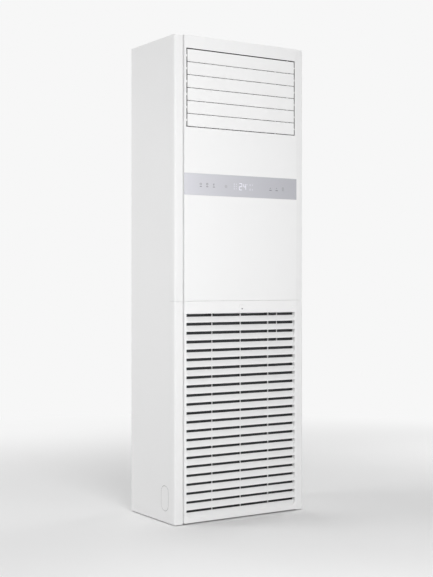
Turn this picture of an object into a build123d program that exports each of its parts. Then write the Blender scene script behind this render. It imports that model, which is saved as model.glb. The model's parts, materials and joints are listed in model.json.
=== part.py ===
from build123d import *
import os
from math import acos, asin, atan2, cos, degrees, hypot, radians, sin

# Floor standing air conditioner: the indoor cabinet, as an assembly of separate pieces.
# Millimetres, +Z up, the front faces -Y, and the origin is on the floor under the cabinet's middle.
# Air goes in through the lower grille and the filter, through the bell mouth into a centrifugal
# blower, up through the sloping cooling coil, and out at the top front past upright vanes and
# six horizontal blades that close flush with the front.

# ---------------------------------------------------------------- driving sizes
# Cabinet
cabinet_width = 600.0
cabinet_depth = 350.0  # from the front panels to the rear screw heads
cabinet_height = 1850.0
panel_proud = 8.0  # the front panels stand this far ahead of the corner posts
sheet = 1.0  # painted steel sheet of the sides, back and top
plate = 1.2  # galvanised steel sheet inside
joint_gap = 0.5  # between covers that meet edge to edge
slip = 0.3  # running clearance of sliding pieces, a side
floor_gap = 3.0  # from the floor to the covers' lower edges
seam_height = 845.0  # where the upper and the lower front meet
seam_gap = 0.7

# Corner posts
post_face = 34.5
post_return = 40.0
post_wall = 2.5
post_corner = 9.0
post_flange = 17.0
groove = 3.0  # between a post and the front panels
groove_depth = 4.0  # from a post's face to the lip that closes the groove
groove_lip = 1.5
groove_slip = 0.4  # from that lip to the panels

# Side, rear and top covers
cover_flange = 12.0
knockout_width = 56.0
knockout_height = 97.0
knockout_set_back = 75.0  # middle, behind the posts' face
knockout_z = 93.5
knockout_lip = 2.5
knockout_gap = 1.2  # all round the pressed-in cover
rear_bead_length = 420.0
rear_bead_height = 26.0
rear_bead_depth = 3.0
rear_bead_count = 4
screw_head = 1.2
screw_flats = 7.0
screw_rows = 5
anchor_hole = 5.0  # diameter of the two holes for a wall tie
anchor_spacing = 120.0
anchor_drop = 60.0  # below the top

# Base
base_lip = 28.0
skid_height = 12.0
skid_wall = 2.0
skid_width = 32.0
skid_inset = 70.0  # outer side of a skid, from the cabinet's side
skid_end_inset = 20.0
bolt_hole = 10.0
bolt_end_inset = 40.0
tool_hole = 24.0
pipe_hole = 60.0  # a side of the rounded square hole for the pipes
pipe_hole_round = 12.0
pipe_hole_inset = 38.0  # the hole's middle, from the cabinet's side
pipe_hole_y = 25.0

# Upper front panel and display
panel_wall = 3.0
panel_rim = 15.0
panel_edge = 2.0  # rounding of the front panels' upright edges
outlet_drop = 48.4  # from the cabinet's top to the outlet's upper edge
outlet_height = 298.1
outlet_margin = 9.0  # from the panel's side to the outlet
display_drop = 173.5  # from the outlet's lower edge to the display's upper edge
display_height = 83.0
display_lens = 1.8
display_window = 112.0
display_window_x = 12.0
display_window_height = 34.0
display_module = 7.0
board = 1.6
board_width = 440.0
board_height = 62.0
key_radius = 6.0
key_spots = (132.0, 163.0, 192.0)  # touch keys, each side of the middle
boss_spots = (-160.0, -60.0, 90.0, 180.0)  # posts that carry the display board

# Outlet duct, blades and vanes
duct_wall = 2.5
duct_step = 1.0  # the duct's inside stands this far outside the outlet's sides and lower edge
duct_head = 12.0  # and this far above its upper edge, to clear the top crank
duct_flange = 10.0
duct_depth = 128.0
blade_count = 6
blade_gap = 2.3
blade_top_gap = 4.3
blade_low_gap = 3.0
blade_end_gap = 4.6
blade_wall = 3.6
blade_lip = 2.2  # thickness at the long edges
blade_axis = 7.6  # behind the blade's face
pivot_radius = 3.0
pivot_boss = 4.6
pin_clearance = 0.1
crank_radius = 34.0
crank_start = 60.0  # degrees above level, with the blades closed
crank_wall = 3.0
crank_width = 8.0
crank_inset = 18.0  # from the outlet's side to the cranks
crank_pin = 2.0
link_width = 8.0
link_wall = 3.0
link_gap = 0.3  # a side, between cranks and links
motor_crank_behind = 40.0
driven_blade = 2  # the motor's crank is level with this blade, counted from 0 at the bottom
vane_count = 7
vane_end_room = 55.5  # from the outlet's side to the outer vane
vane_chord = 52.0
vane_wall = 2.0
vane_axis = 90.0  # behind the panels' face
vane_pin = 2.5
vane_crank = 20.0
vane_foot = 10.0  # clear height under the vanes, for their link
vane_head = 2.0
vane_link_width = 8.0
vane_link_wall = 3.0
vane_link_lift = 3.0
swing_motor_radius = 14.0
swing_motor_length = 19.0

# Intake grille, filter and latch
grille_plate = 3.0
grille_rim = 29.0
grille_low = 7.0
bay_count = 23
bay_pitch = 33.69
slot_gap = 11.8
top_slot_z = 791.3
bay_corner = 20.0
bay_land = 3.0
slat_depth = 12.0
slat_wall = 2.2
rib_end_room = 122.5  # from the outlet's side to the outer rib
stay_end_room = 79.5  # from the outlet's side to the short stay behind the top slots
stay_bays = 4
rib_wall = 3.0
rib_back = 18.0
finger_low = 815.5
finger_high = 829.5
finger_end_room = 8.5  # from the outlet's side to the recess's end
finger_depth = 1.6
latch_width = 25.0
latch_height = 24.0
latch_z = 816.4
latch_gap = 0.4
latch_face = 6.0
latch_stem = 8.0
latch_reach = 25.0
latch_mark = 10.0
latch_mark_side = 8.0
latch_mark_depth = 0.5
hinge_z = 20.0
hinge_behind = 14.6
hinge_radius = 3.0
hinge_boss = 7.0
filter_side_gap = 3.5  # a side, inside the grille's rim
filter_thickness = 6.0
filter_border = 12.0
filter_bar = 5.0
filter_columns = 4
filter_rows = 6
filter_mesh_wall = 0.8
filter_low = 34.0
filter_high = 794.0
filter_lip = 8.0

# Cross beam behind the seam
beam_front = 35.0  # behind the panels' face
beam_floor = 40.0  # depth of the beam's lower flange
beam_shelf = 60.0  # depth of its upper flange
keeper_width = 20.0
keeper_height = 18.0
keeper_depth = 14.0

# Blower
fan_z = 400.0
wheel_radius = 180.0
wheel_width = 140.0
wheel_inner = 150.0
wheel_ring = 12.0
wheel_plate = 3.0
wheel_blades = 40
wheel_blade_wall = 1.8
wheel_blade_lean = 7.0  # degrees from root to tip
wheel_blade_belly = 0.3  # its middle leans back by this share of that
hub_radius = 22.0
hub_length = 40.0
shaft_radius = 6.0
shaft_clearance = 0.08
nut_flats = 19.0
nut_height = 8.0
scroll_depth = 168.0
scroll_front = 97.0  # the casing's front plate, behind the panels' face
tongue_gap = 18.0
tongue_angle = 70.0
casing_side_room = 25.0  # from the cabinet's side to the casing's widest part
scroll_arcs = 5
wheel_front_gap = 12.0
casing_flange = 12.0
throat_radius = 140.0
bell_flange = 28.0
bell_round = 16.0
bell_wall = 2.0
motor_radius = 72.0
motor_length = 62.0
motor_round = 10.0
motor_rim = 8.0
mount_arm = 24.0
mount_arms = 4
mount_reach = 40.0
mount_wall = 2.4

# Deck, coil, drain and pipes
deck_z = 770.0
deck_front = 60.0  # behind the panels' face
pipe_slot_width = 44.0
pipe_slot_room = 19.5  # from the outer pipes' middles to the ends of their slot
coil_length = 600.0
coil_side_room = 70.0  # from the cabinet's side to the fins
coil_thickness = 44.0
coil_back_gap = 4.0  # behind the coil's upper end
coil_foot_y = -80.0
coil_foot_z = 876.0
fin_grooves = 20
fin_groove = 3.0
end_plate = 1.5
end_plate_lip = 3.0  # beyond the fins, front and back
fin_groove_depth = 1.5
bend_count = 11
bend_span = 25.0
bend_radius = 5.0
pan_height = 40.0
pan_wall = 2.5
pan_side_room = 15.0  # from the cabinet's side to the pan
pan_front_gap = 28.0
pan_back_gap = 56.0
gas_pipe_radius = 8.0
liquid_pipe_radius = 5.0
gas_bend = 5  # the gas pipe leaves the coil behind this many return bends
liquid_bend = 7
pipe_inset = 28.0
pipe_bend = 20.0
pipe_low = 140.0
flare_length = 22.0
flare_share = 1.5  # a nut's half width, as a share of its pipe's radius
clamp_z = 240.0
clamp_height = 16.0
drain_radius = 10.0
drain_y = -60.0
drain_low = 40.0

# Electrics
box_width = 380.0
box_end_room = 21.5  # from the drain pan and from the display
box_depth = 36.0
main_board_width = 220.0
main_board_share = 0.53  # of the box's height
capacitor_radius = 15.0
capacitor_length = 15.3
transformer_size = 44.0
transformer_height = 17.6
standoff = 6.0
terminal_width = 92.0
terminal_height = 26.0
terminal_ways = 5

# ---------------------------------------------------------------- worked-out places
FORWARD = (Align.CENTER, Align.MIN)  # a rectangle centred across, from its place onwards
half_width = cabinet_width / 2
front_y = -cabinet_depth / 2
post_y = front_y + panel_proud
side_front_y = post_y + post_return + joint_gap
rear_y = cabinet_depth / 2 - screw_head
panel_half = half_width - post_face - groove
outlet_half = panel_half - outlet_margin
outlet_high = cabinet_height - outlet_drop
outlet_low = outlet_high - outlet_height
display_high = outlet_low - display_drop
display_low = display_high - display_height
duct_half = outlet_half + duct_step
lower_top = seam_height - seam_gap / 2
upper_low = seam_height + seam_gap / 2
inner_half = half_width - sheet
inner_back = rear_y - sheet


def front_plane(y):
    """The upright plane at depth y, with x to the right and z up in its sketches; it faces forward."""
    return Plane.XZ.offset(-y)


def keep(piece, name):
    """Labels a finished piece and writes it to its own file."""
    piece.part.label = name
    export_step(piece.part, f"parts/{name}.step")


def keep_both(piece, name):
    """Writes a left piece, and its mirror image as the right one."""
    keep(piece, f"left_{name}")
    with BuildPart() as right:
        mirror(piece.part, about=Plane.YZ)
    keep(right, f"right_{name}")


os.makedirs("parts", exist_ok=True)


# ---------------------------------------------------------------- corner posts
def post_outline():
    """The plan outline of the left post, in the sketch that is being drawn."""
    with Locations((-half_width + post_face / 2, post_y + post_return / 2)):
        outline = Rectangle(post_face, post_return)
    fillet(outline.vertices().group_by(Axis.Y)[0].sort_by(Axis.X)[0], post_corner)


def corner_post(low, high, closed_top, hinge):
    """A U-section moulding with a rounded outer corner, a short inner flange and the groove's lip."""
    inner_x = -half_width + post_face
    with BuildPart() as post:
        with BuildSketch(Plane.XY.offset(low)):
            post_outline()
            offset(amount=-post_wall, mode=Mode.SUBTRACT)
            with Locations((-half_width + post_face / 2, post_y + post_return)):
                Rectangle(post_face - 2 * post_wall, 2 * post_wall, mode=Mode.SUBTRACT)
            with Locations((inner_x, post_y + (post_flange + post_return) / 2)):
                Rectangle(2 * post_wall, post_return - post_flange, mode=Mode.SUBTRACT)
            with Locations((inner_x, post_y + groove_depth)):
                Rectangle(groove - groove_slip, groove_lip, align=(Align.MIN, Align.MIN))
        extrude(amount=high - low)
        if closed_top:
            with BuildSketch(Plane.XY.offset(high)):
                post_outline()
            extrude(amount=-post_wall)
        if hinge:
            with Locations(Plane((inner_x + groove, front_y + hinge_behind, hinge_z), z_dir=(1, 0, 0))):
                Hole(hinge_radius + pin_clearance, 2 * post_wall + groove)
    return post


keep_both(corner_post(floor_gap, lower_top, closed_top=False, hinge=True), "lower_post")
keep_both(corner_post(upper_low, cabinet_height, closed_top=True, hinge=False), "upper_post")


# ---------------------------------------------------------------- side covers and knock-outs
knockout_y = post_y + knockout_set_back


def knockout_outline(grow=0.0):
    """The pipe knock-out's obround, upright, in the sketch that is being drawn."""
    SlotOverall(knockout_height + 2 * grow, knockout_width + 2 * grow, rotation=90)


with BuildPart() as side_cover:
    with BuildSketch(Plane.XY.offset(floor_gap)):
        with Locations((-half_width, side_front_y)):
            Rectangle(sheet, rear_y - sheet - side_front_y, align=(Align.MIN, Align.MIN))
            Rectangle(cover_flange, sheet, align=(Align.MIN, Align.MIN))
        with Locations((-half_width, rear_y - sheet)):
            Rectangle(cover_flange, sheet, align=(Align.MIN, Align.MAX))
    extrude(amount=cabinet_height - floor_gap)
    with BuildSketch(Plane.YZ.offset(-half_width)):
        with Locations((knockout_y, knockout_z)):
            knockout_outline()
    extrude(amount=2 * sheet, mode=Mode.SUBTRACT)
keep_both(side_cover, "side_cover")


rear_knockout_x = half_width - knockout_set_back
knockout_planes = (
    Plane((-half_width, knockout_y, knockout_z), x_dir=(0, -1, 0), z_dir=(-1, 0, 0)),
    Plane((half_width, knockout_y, knockout_z), x_dir=(0, 1, 0), z_dir=(1, 0, 0)),
    Plane((-rear_knockout_x, rear_y, knockout_z), x_dir=(-1, 0, 0), z_dir=(0, 1, 0)),
)
with BuildPart() as knockout_covers:
    for outer_face in knockout_planes:
        with BuildSketch(outer_face):
            knockout_outline(grow=-knockout_gap)
        extrude(amount=-sheet)
        with BuildSketch(outer_face.offset(-sheet)):
            knockout_outline(grow=knockout_lip)
        extrude(amount=-sheet)
keep(knockout_covers, "knockout_covers")


# ---------------------------------------------------------------- rear cover, its screws and the top cover
screw_x = half_width - cover_flange / 2
screw_first = floor_gap + base_lip
screw_pitch = (cabinet_height - 2 * screw_first) / (screw_rows - 1)
screw_places = [
    (side * screw_x, screw_first + row * screw_pitch) for side in (-1, 1) for row in range(screw_rows)
]
bead_first = knockout_z + knockout_height
bead_pitch = (cabinet_height - 2 * bead_first) / (rear_bead_count - 1)

with BuildPart() as rear_cover:
    with BuildSketch(front_plane(rear_y)):
        with Locations((0, (floor_gap + cabinet_height) / 2)):
            Rectangle(cabinet_width, cabinet_height - floor_gap)
    extrude(amount=sheet)
    with BuildSketch(front_plane(rear_y)):
        with Locations([(0, bead_first + row * bead_pitch) for row in range(rear_bead_count)]):
            SlotOverall(rear_bead_length, rear_bead_height)
    extrude(amount=rear_bead_depth + sheet)
    with BuildSketch(front_plane(rear_y)):
        with Locations([(0, bead_first + row * bead_pitch) for row in range(rear_bead_count)]):
            SlotOverall(rear_bead_length - 2 * sheet, rear_bead_height - 2 * sheet)
    extrude(amount=rear_bead_depth, mode=Mode.SUBTRACT)
    with BuildSketch(front_plane(rear_y)):
        with Locations((-rear_knockout_x, knockout_z)):
            knockout_outline()
        with Locations(screw_places):
            Rectangle(screw_flats / 2, screw_flats / 2)
        with GridLocations(anchor_spacing, 1, 2, 1):
            with Locations((0, cabinet_height - anchor_drop)):
                Circle(anchor_hole / 2)
    extrude(amount=sheet, mode=Mode.SUBTRACT)
keep(rear_cover, "rear_cover")

with BuildPart() as rear_screws:
    with BuildSketch(front_plane(rear_y)):
        with Locations(screw_places):
            RegularPolygon(screw_flats / 2, 6, major_radius=False)
    extrude(amount=-screw_head)
    with BuildSketch(front_plane(rear_y)):
        with Locations(screw_places):
            Rectangle(screw_flats / 2, screw_flats / 2)
    extrude(amount=sheet)
keep(rear_screws, "rear_screws")

top_front_y = front_y + panel_rim + joint_gap
top_corner_half = half_width - post_face - joint_gap


def top_outline(inset=0.0):
    """The top cover's plan outline, clear of the side covers' flanges, in the sketch being drawn."""
    flange_room = 2 * (cover_flange + joint_gap + inset)
    with Locations((0, side_front_y + joint_gap + inset)):
        Rectangle(
            2 * (inner_half - inset), inner_back - side_front_y - joint_gap - 2 * inset, align=FORWARD
        )
    with Locations((0, top_front_y + inset)):
        Rectangle(2 * (top_corner_half - inset), inner_back - top_front_y - 2 * inset, align=FORWARD)
    with Locations([(side * half_width, y) for side in (-1, 1) for y in (side_front_y, inner_back)]):
        Rectangle(flange_room, 2 * (sheet + joint_gap + inset), mode=Mode.SUBTRACT)


with BuildPart() as top_cover:
    with BuildSketch(Plane.XY.offset(cabinet_height)):
        top_outline()
    extrude(amount=-cover_flange)
    with BuildSketch(Plane.XY.offset(cabinet_height - sheet)):
        top_outline(sheet)
    extrude(amount=-cover_flange, mode=Mode.SUBTRACT)
keep(top_cover, "top_cover")


# ---------------------------------------------------------------- base pan and skids
pan_front_y = front_y + beam_front
pan_back_y = inner_back - sheet
flange_half = half_width - cover_flange - joint_gap
skid_x = half_width - skid_inset - skid_width / 2
skid_front_y = pan_front_y + skid_end_inset
skid_back_y = pan_back_y - skid_end_inset
bolt_places = [
    (side * skid_x, y)
    for side in (-1, 1)
    for y in (skid_front_y + bolt_end_inset, skid_back_y - bolt_end_inset)
]
pipe_hole_x = half_width - pipe_hole_inset

with BuildPart() as base_pan:
    with BuildSketch(Plane.XY.offset(skid_height)):
        with Locations((0, side_front_y + sheet)):
            Rectangle(2 * inner_half, pan_back_y - side_front_y - sheet, align=FORWARD)
        with Locations((0, pan_front_y)):
            Rectangle(2 * flange_half, pan_back_y - pan_front_y, align=FORWARD)
    extrude(amount=base_lip)
    offset(amount=-plate, openings=base_pan.faces().sort_by(Axis.Z)[-1])
    with BuildSketch(Plane.XY.offset(skid_height)):
        with Locations((pipe_hole_x, pipe_hole_y)):
            RectangleRounded(pipe_hole, pipe_hole, pipe_hole_round)
        with Locations(bolt_places):
            Circle(tool_hole / 2)
    extrude(amount=plate, mode=Mode.SUBTRACT)
keep(base_pan, "base_pan")

with BuildPart() as skids:
    with BuildSketch(front_plane(skid_front_y)):
        with Locations([(side * skid_x, 0) for side in (-1, 1)]):
            Rectangle(skid_width, skid_height, align=FORWARD)
        with Locations([(side * skid_x, skid_wall) for side in (-1, 1)]):
            Rectangle(skid_width - 2 * skid_wall, skid_height, align=FORWARD, mode=Mode.SUBTRACT)
    extrude(amount=skid_front_y - skid_back_y)
    with BuildSketch(Plane.XY):
        with Locations(bolt_places):
            Circle(bolt_hole / 2)
    extrude(amount=skid_wall, mode=Mode.SUBTRACT)
keep(skids, "skids")


# ---------------------------------------------------------------- upper front panel and display
panel_back = front_y + panel_wall  # the front panels' inner face
outlet_z = (outlet_low + outlet_high) / 2
display_z = (display_low + display_high) / 2
lens_back = front_y + display_lens
board_front = lens_back + display_module


def panel_outline(depth):
    """The front panels' plan outline, with rounded upright edges, in the sketch being drawn."""
    with Locations((0, front_y)):
        outline = Rectangle(2 * panel_half, depth, align=FORWARD)
    fillet(outline.vertices().group_by(Axis.Y)[0], panel_edge)


def front_tray(low, high, rim, wall):
    """A front moulding, open at the back, as wide as the space between the corner posts."""
    with BuildPart() as tray:
        with BuildSketch(Plane.XY.offset(low)):
            panel_outline(rim)
        extrude(amount=high - low)
        with BuildSketch(front_plane(front_y + rim)):
            with Locations((0, (low + high) / 2)):
                Rectangle(2 * (panel_half - wall), high - low - 2 * wall)
        extrude(amount=rim - wall, mode=Mode.SUBTRACT)
    return tray


upper_tray = front_tray(upper_low, cabinet_height, panel_rim, panel_wall)
boss_places = [(x, display_z + side * board_height / 3) for x in boss_spots for side in (-1, 1)]
with BuildPart() as front_panel:
    add(upper_tray.part)
    with BuildSketch(front_plane(panel_back)):
        with Locations((0, outlet_z)):
            Rectangle(2 * outlet_half, outlet_height)
    extrude(amount=panel_wall, mode=Mode.SUBTRACT)
    with BuildSketch(front_plane(lens_back)):
        with Locations((0, display_z)):
            Rectangle(cabinet_width, display_height)
    extrude(amount=display_lens, mode=Mode.SUBTRACT)
    with BuildSketch(front_plane(board_front)):
        with Locations(boss_places):
            Circle(key_radius / 2)
    extrude(amount=board_front - panel_back)
    with BuildSketch(front_plane(panel_back)):
        with Locations((display_window_x, display_z)):
            Rectangle(display_window, display_window_height)
    extrude(amount=panel_back - lens_back, mode=Mode.SUBTRACT)
keep(front_panel, "front_panel")

with BuildPart() as display_lens_strip:
    with BuildSketch(Plane.XY.offset(display_low + slip)):
        panel_outline(panel_rim)
    extrude(amount=display_height - 2 * slip)
    with BuildSketch(front_plane(lens_back)):
        with Locations((0, display_z)):
            Rectangle(cabinet_width, display_height)
    extrude(amount=lens_back - front_y - panel_rim, mode=Mode.SUBTRACT)
keep(display_lens_strip, "display_lens")

with BuildPart() as display_board:
    with BuildSketch(front_plane(board_front)):
        with Locations((0, display_z)):
            Rectangle(board_width, board_height)
    extrude(amount=-board)
    with BuildSketch(front_plane(board_front)):
        with Locations([(side * spot, display_z) for side in (-1, 1) for spot in key_spots]):
            Circle(key_radius)
    extrude(amount=board_front - panel_back)
    with BuildSketch(front_plane(board_front)):
        with Locations((display_window_x, display_z)):
            Rectangle(display_window - 2 * slip, display_window_height - 2 * slip)
    extrude(amount=display_module - slip)
keep(display_board, "display_board")


# ---------------------------------------------------------------- outlet duct
duct_low = outlet_low - duct_step
duct_high = outlet_high + duct_head
duct_z = (duct_low + duct_high) / 2
duct_side = duct_half + duct_wall
blade_pitch = (outlet_height - blade_top_gap - blade_low_gap + blade_gap) / blade_count
blade_height = blade_pitch - blade_gap
blade_y = front_y + blade_axis
blade_first = outlet_low + blade_low_gap + blade_height / 2
blade_zs = [blade_first + row * blade_pitch for row in range(blade_count)]
motor_crank_y = blade_y + motor_crank_behind
motor_crank_z = blade_zs[driven_blade]
vane_y = front_y + vane_axis
vane_pitch = 2 * (outlet_half - vane_end_room) / (vane_count - 1)
vane_xs = [(column - (vane_count - 1) / 2) * vane_pitch for column in range(vane_count)]
middle_vane = vane_count // 2

with BuildPart() as outlet_duct:
    with BuildSketch(front_plane(panel_back)):
        with Locations((0, duct_z)):
            Rectangle(2 * duct_side, duct_high - duct_low + 2 * duct_wall)
    extrude(amount=-duct_depth)
    with BuildSketch(front_plane(panel_back)):
        with Locations((0, duct_z)):
            Rectangle(2 * (panel_half - panel_wall - slip), duct_high - duct_low + 2 * duct_flange)
    extrude(amount=-duct_wall)
    with BuildSketch(front_plane(panel_back)):
        with Locations((0, duct_z)):
            Rectangle(2 * duct_half, duct_high - duct_low)
    extrude(amount=-duct_depth, mode=Mode.SUBTRACT)
    with BuildSketch(Plane.YZ.offset(-half_width)):
        with Locations([(blade_y, z) for z in blade_zs]):
            Circle(pivot_radius + pin_clearance)
    extrude(amount=cabinet_width, mode=Mode.SUBTRACT)
    with BuildSketch(Plane.YZ):
        with Locations((motor_crank_y, motor_crank_z)):
            Circle(pivot_radius + pin_clearance)
    extrude(amount=half_width, mode=Mode.SUBTRACT)
    with BuildSketch(Plane.XY.offset(duct_low - duct_wall)):
        with Locations([(x, vane_y) for x in vane_xs]):
            Circle(vane_pin + pin_clearance)
    extrude(amount=duct_high - duct_low + 2 * duct_wall, mode=Mode.SUBTRACT)
keep(outlet_duct, "outlet_duct")


# ---------------------------------------------------------------- horizontal blades, link and motor
crank_back_x = outlet_half - crank_inset
crank_rise = crank_radius * sin(radians(crank_start))
crank_run = crank_radius * cos(radians(crank_start))
blade_half = outlet_half - blade_end_gap


def crank_outline(y, z, round_end):
    """A crank arm from its shaft at (y, z) to its pin, seen from the side, in the sketch being drawn."""
    with BuildSketch(mode=Mode.PRIVATE) as arm:
        with Locations((y, z)):
            Circle(pivot_boss)
        with Locations((y + crank_run, z + crank_rise)):
            Circle(round_end)
        make_hull()
    add(arm.sketch)


def blade(z):
    """One blade, closed: a slat with tapered edges, end bosses with pivot pins, and its crank."""
    with BuildPart() as part:
        with BuildSketch(Plane.YZ.offset(-blade_half)):
            with BuildLine():
                Polyline(
                    (front_y, z - blade_height / 2),
                    (front_y, z + blade_height / 2),
                    (front_y + blade_lip, z + blade_height / 2),
                    (front_y + blade_wall, z + blade_height / 3),
                    (front_y + blade_wall, z - blade_height / 3),
                    (front_y + blade_lip, z - blade_height / 2),
                    close=True,
                )
            make_face()
        extrude(amount=2 * blade_half)
        for side in (-1, 1):
            with BuildSketch(Plane.YZ.offset(side * blade_half)):
                with Locations((blade_y, z)):
                    Circle(pivot_boss)
                with Locations((front_y + blade_lip, z)):
                    Rectangle(blade_axis - blade_lip, 2 * pivot_boss, align=(Align.MIN, Align.CENTER))
            extrude(amount=-side * crank_width)
            with BuildSketch(Plane.YZ.offset(side * (blade_half - crank_width))):
                with Locations((blade_y, z)):
                    Circle(pivot_radius)
            extrude(amount=side * (duct_side - blade_half + crank_width))
        with BuildSketch(Plane.YZ.offset(crank_back_x)):
            crank_outline(blade_y, z, crank_width / 2)
            with Locations((front_y + blade_lip, z)):
                Rectangle(blade_axis - blade_lip, 2 * pivot_boss, align=(Align.MIN, Align.CENTER))
        extrude(amount=-crank_wall)
        with BuildSketch(Plane.YZ.offset(crank_back_x)):
            with Locations((blade_y + crank_run, z + crank_rise)):
                Circle(crank_pin)
        extrude(amount=link_wall + link_gap)
    return part


for row, z in enumerate(blade_zs):
    keep(blade(z), f"blade_{row + 1}")

link_x = crank_back_x + link_gap
link_y = blade_y + crank_run
link_zs = [z + crank_rise for z in blade_zs]
with BuildPart() as blade_link:
    with BuildSketch(Plane.YZ.offset(link_x)):
        with Locations((link_y, (link_zs[0] + link_zs[-1]) / 2)):
            SlotCenterToCenter(link_zs[-1] - link_zs[0], link_width, rotation=90)
        with Locations((link_y + motor_crank_behind / 2, link_zs[driven_blade])):
            SlotCenterToCenter(motor_crank_behind, link_width)
        with Locations([(link_y, z) for z in link_zs]):
            Circle(crank_pin + pin_clearance, mode=Mode.SUBTRACT)
        with Locations((link_y + motor_crank_behind, link_zs[driven_blade])):
            Circle(crank_pin + pin_clearance, mode=Mode.SUBTRACT)
    extrude(amount=link_wall)
keep(blade_link, "blade_link")

motor_crank_x = link_x + link_wall + link_gap
with BuildPart() as blade_crank:
    with BuildSketch(Plane.YZ.offset(motor_crank_x)):
        crank_outline(motor_crank_y, motor_crank_z, crank_width / 2)
    extrude(amount=crank_wall)
    with BuildSketch(Plane.YZ.offset(motor_crank_x)):
        with Locations((motor_crank_y + crank_run, motor_crank_z + crank_rise)):
            Circle(crank_pin)
    extrude(amount=-link_gap - link_wall)
    with BuildSketch(Plane.YZ.offset(motor_crank_x)):
        with Locations((motor_crank_y, motor_crank_z)):
            Circle(pivot_radius)
    extrude(amount=duct_side + swing_motor_length / 2 - motor_crank_x)
keep(blade_crank, "blade_crank")


def swing_motor(plane, shaft_hole):
    """A flat geared motor with two fixing ears. The plane lies on its mounting face; its body is behind."""
    with BuildPart() as motor:
        with BuildSketch(plane):
            Circle(swing_motor_radius)
            SlotCenterToCenter(2 * swing_motor_radius + crank_width, crank_width, mode=Mode.ADD)
        extrude(amount=-crank_wall / 2)
        with BuildSketch(plane):
            Circle(swing_motor_radius)
        extrude(amount=-swing_motor_length)
        with BuildSketch(plane):
            Circle(shaft_hole)
        extrude(amount=-swing_motor_length * 2 / 3, mode=Mode.SUBTRACT)
        with BuildSketch(plane):
            with GridLocations(2 * swing_motor_radius + crank_width, 1, 2, 1):
                Circle(crank_pin)
        extrude(amount=-crank_wall / 2, mode=Mode.SUBTRACT)
    return motor


blade_motor_face = Plane((duct_side, motor_crank_y, motor_crank_z), x_dir=(0, 0, 1), z_dir=(-1, 0, 0))
keep(swing_motor(blade_motor_face, pivot_radius + pin_clearance), "blade_motor")


# ---------------------------------------------------------------- upright vanes, their link and their motor
vane_low = duct_low + vane_foot
vane_high = duct_high - vane_head
vane_link_low = duct_low + vane_link_lift
vane_arm_low = vane_link_low + vane_link_wall + link_gap


def vane(x, foot):
    """One upright vane on its spine, with a crank below. Its lower pin reaches down to the height foot."""
    with BuildPart() as part:
        with BuildSketch(Plane.XY.offset(vane_low)):
            with Locations((x, vane_y)):
                SlotOverall(vane_chord, vane_wall, rotation=90)
        extrude(amount=vane_high - vane_low)
        with BuildSketch(Plane.XY.offset(foot)):
            with Locations((x, vane_y)):
                Circle(vane_pin)
        extrude(amount=duct_high + duct_wall - foot)
        with BuildSketch(Plane.XY.offset(vane_arm_low)):
            with Locations((x, vane_y + vane_crank / 2)):
                SlotCenterToCenter(vane_crank, vane_link_width, rotation=90)
        extrude(amount=vane_low - vane_arm_low)
        with BuildSketch(Plane.XY.offset(vane_arm_low)):
            with Locations((x, vane_y + vane_crank)):
                Circle(crank_pin)
        extrude(amount=-vane_link_wall - link_gap)
    return part


for column, x in enumerate(vane_xs):
    reach = swing_motor_length / 2 if column == middle_vane else 0
    keep(vane(x, duct_low - duct_wall - reach), f"vane_{column + 1}")

with BuildPart() as vane_link:
    with BuildSketch(Plane.XY.offset(vane_link_low)):
        with Locations((0, vane_y + vane_crank)):
            SlotCenterToCenter(vane_xs[-1] - vane_xs[0], vane_link_width)
        with Locations([(x, vane_y + vane_crank) for x in vane_xs]):
            Circle(crank_pin + pin_clearance, mode=Mode.SUBTRACT)
    extrude(amount=vane_link_wall)
keep(vane_link, "vane_link")

vane_motor_face = Plane((vane_xs[middle_vane], vane_y, duct_low - duct_wall), z_dir=(0, 0, 1))
keep(swing_motor(vane_motor_face, vane_pin + pin_clearance), "vane_motor")


# ---------------------------------------------------------------- intake grille
grille_back = front_y + grille_plate
bay_height = bay_pitch - bay_land
bay_tops = [top_slot_z + slot_gap / 2 - row * bay_pitch for row in range(bay_count)]
bay_low = bay_tops[-1] - bay_height
slat_rise = bay_height - slot_gap
slat_level = slat_wall * (slat_rise**2 + slat_depth**2) ** 0.5 / slat_rise  # its wall, measured level
end_wall_half = outlet_half + slat_wall
filter_front = front_y + rib_back + slip
filter_back = filter_front + filter_thickness
filter_width = 2 * (panel_half - grille_plate - filter_side_gap)
channel_x = panel_half - grille_plate - filter_lip / 2
rib_spacing = outlet_half - rib_end_room
stay_low = bay_tops[stay_bays] + bay_land
finger_z = (finger_low + finger_high) / 2
hinge_y = front_y + hinge_behind
post_inner = half_width - post_face
guide_half = latch_width / 2 + latch_gap + slat_wall


def slat_outline(top):
    """The section of the sloping slat under the slot whose upper edge is at top."""
    low = top - bay_height
    with BuildLine() as outline:
        Polyline(
            (front_y, low),
            (front_y + slat_depth, low + slat_rise),
            (front_y + slat_depth + slat_level, low + slat_rise),
            (front_y + slat_level, low),
            close=True,
        )
    make_face(outline.edges())


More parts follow.
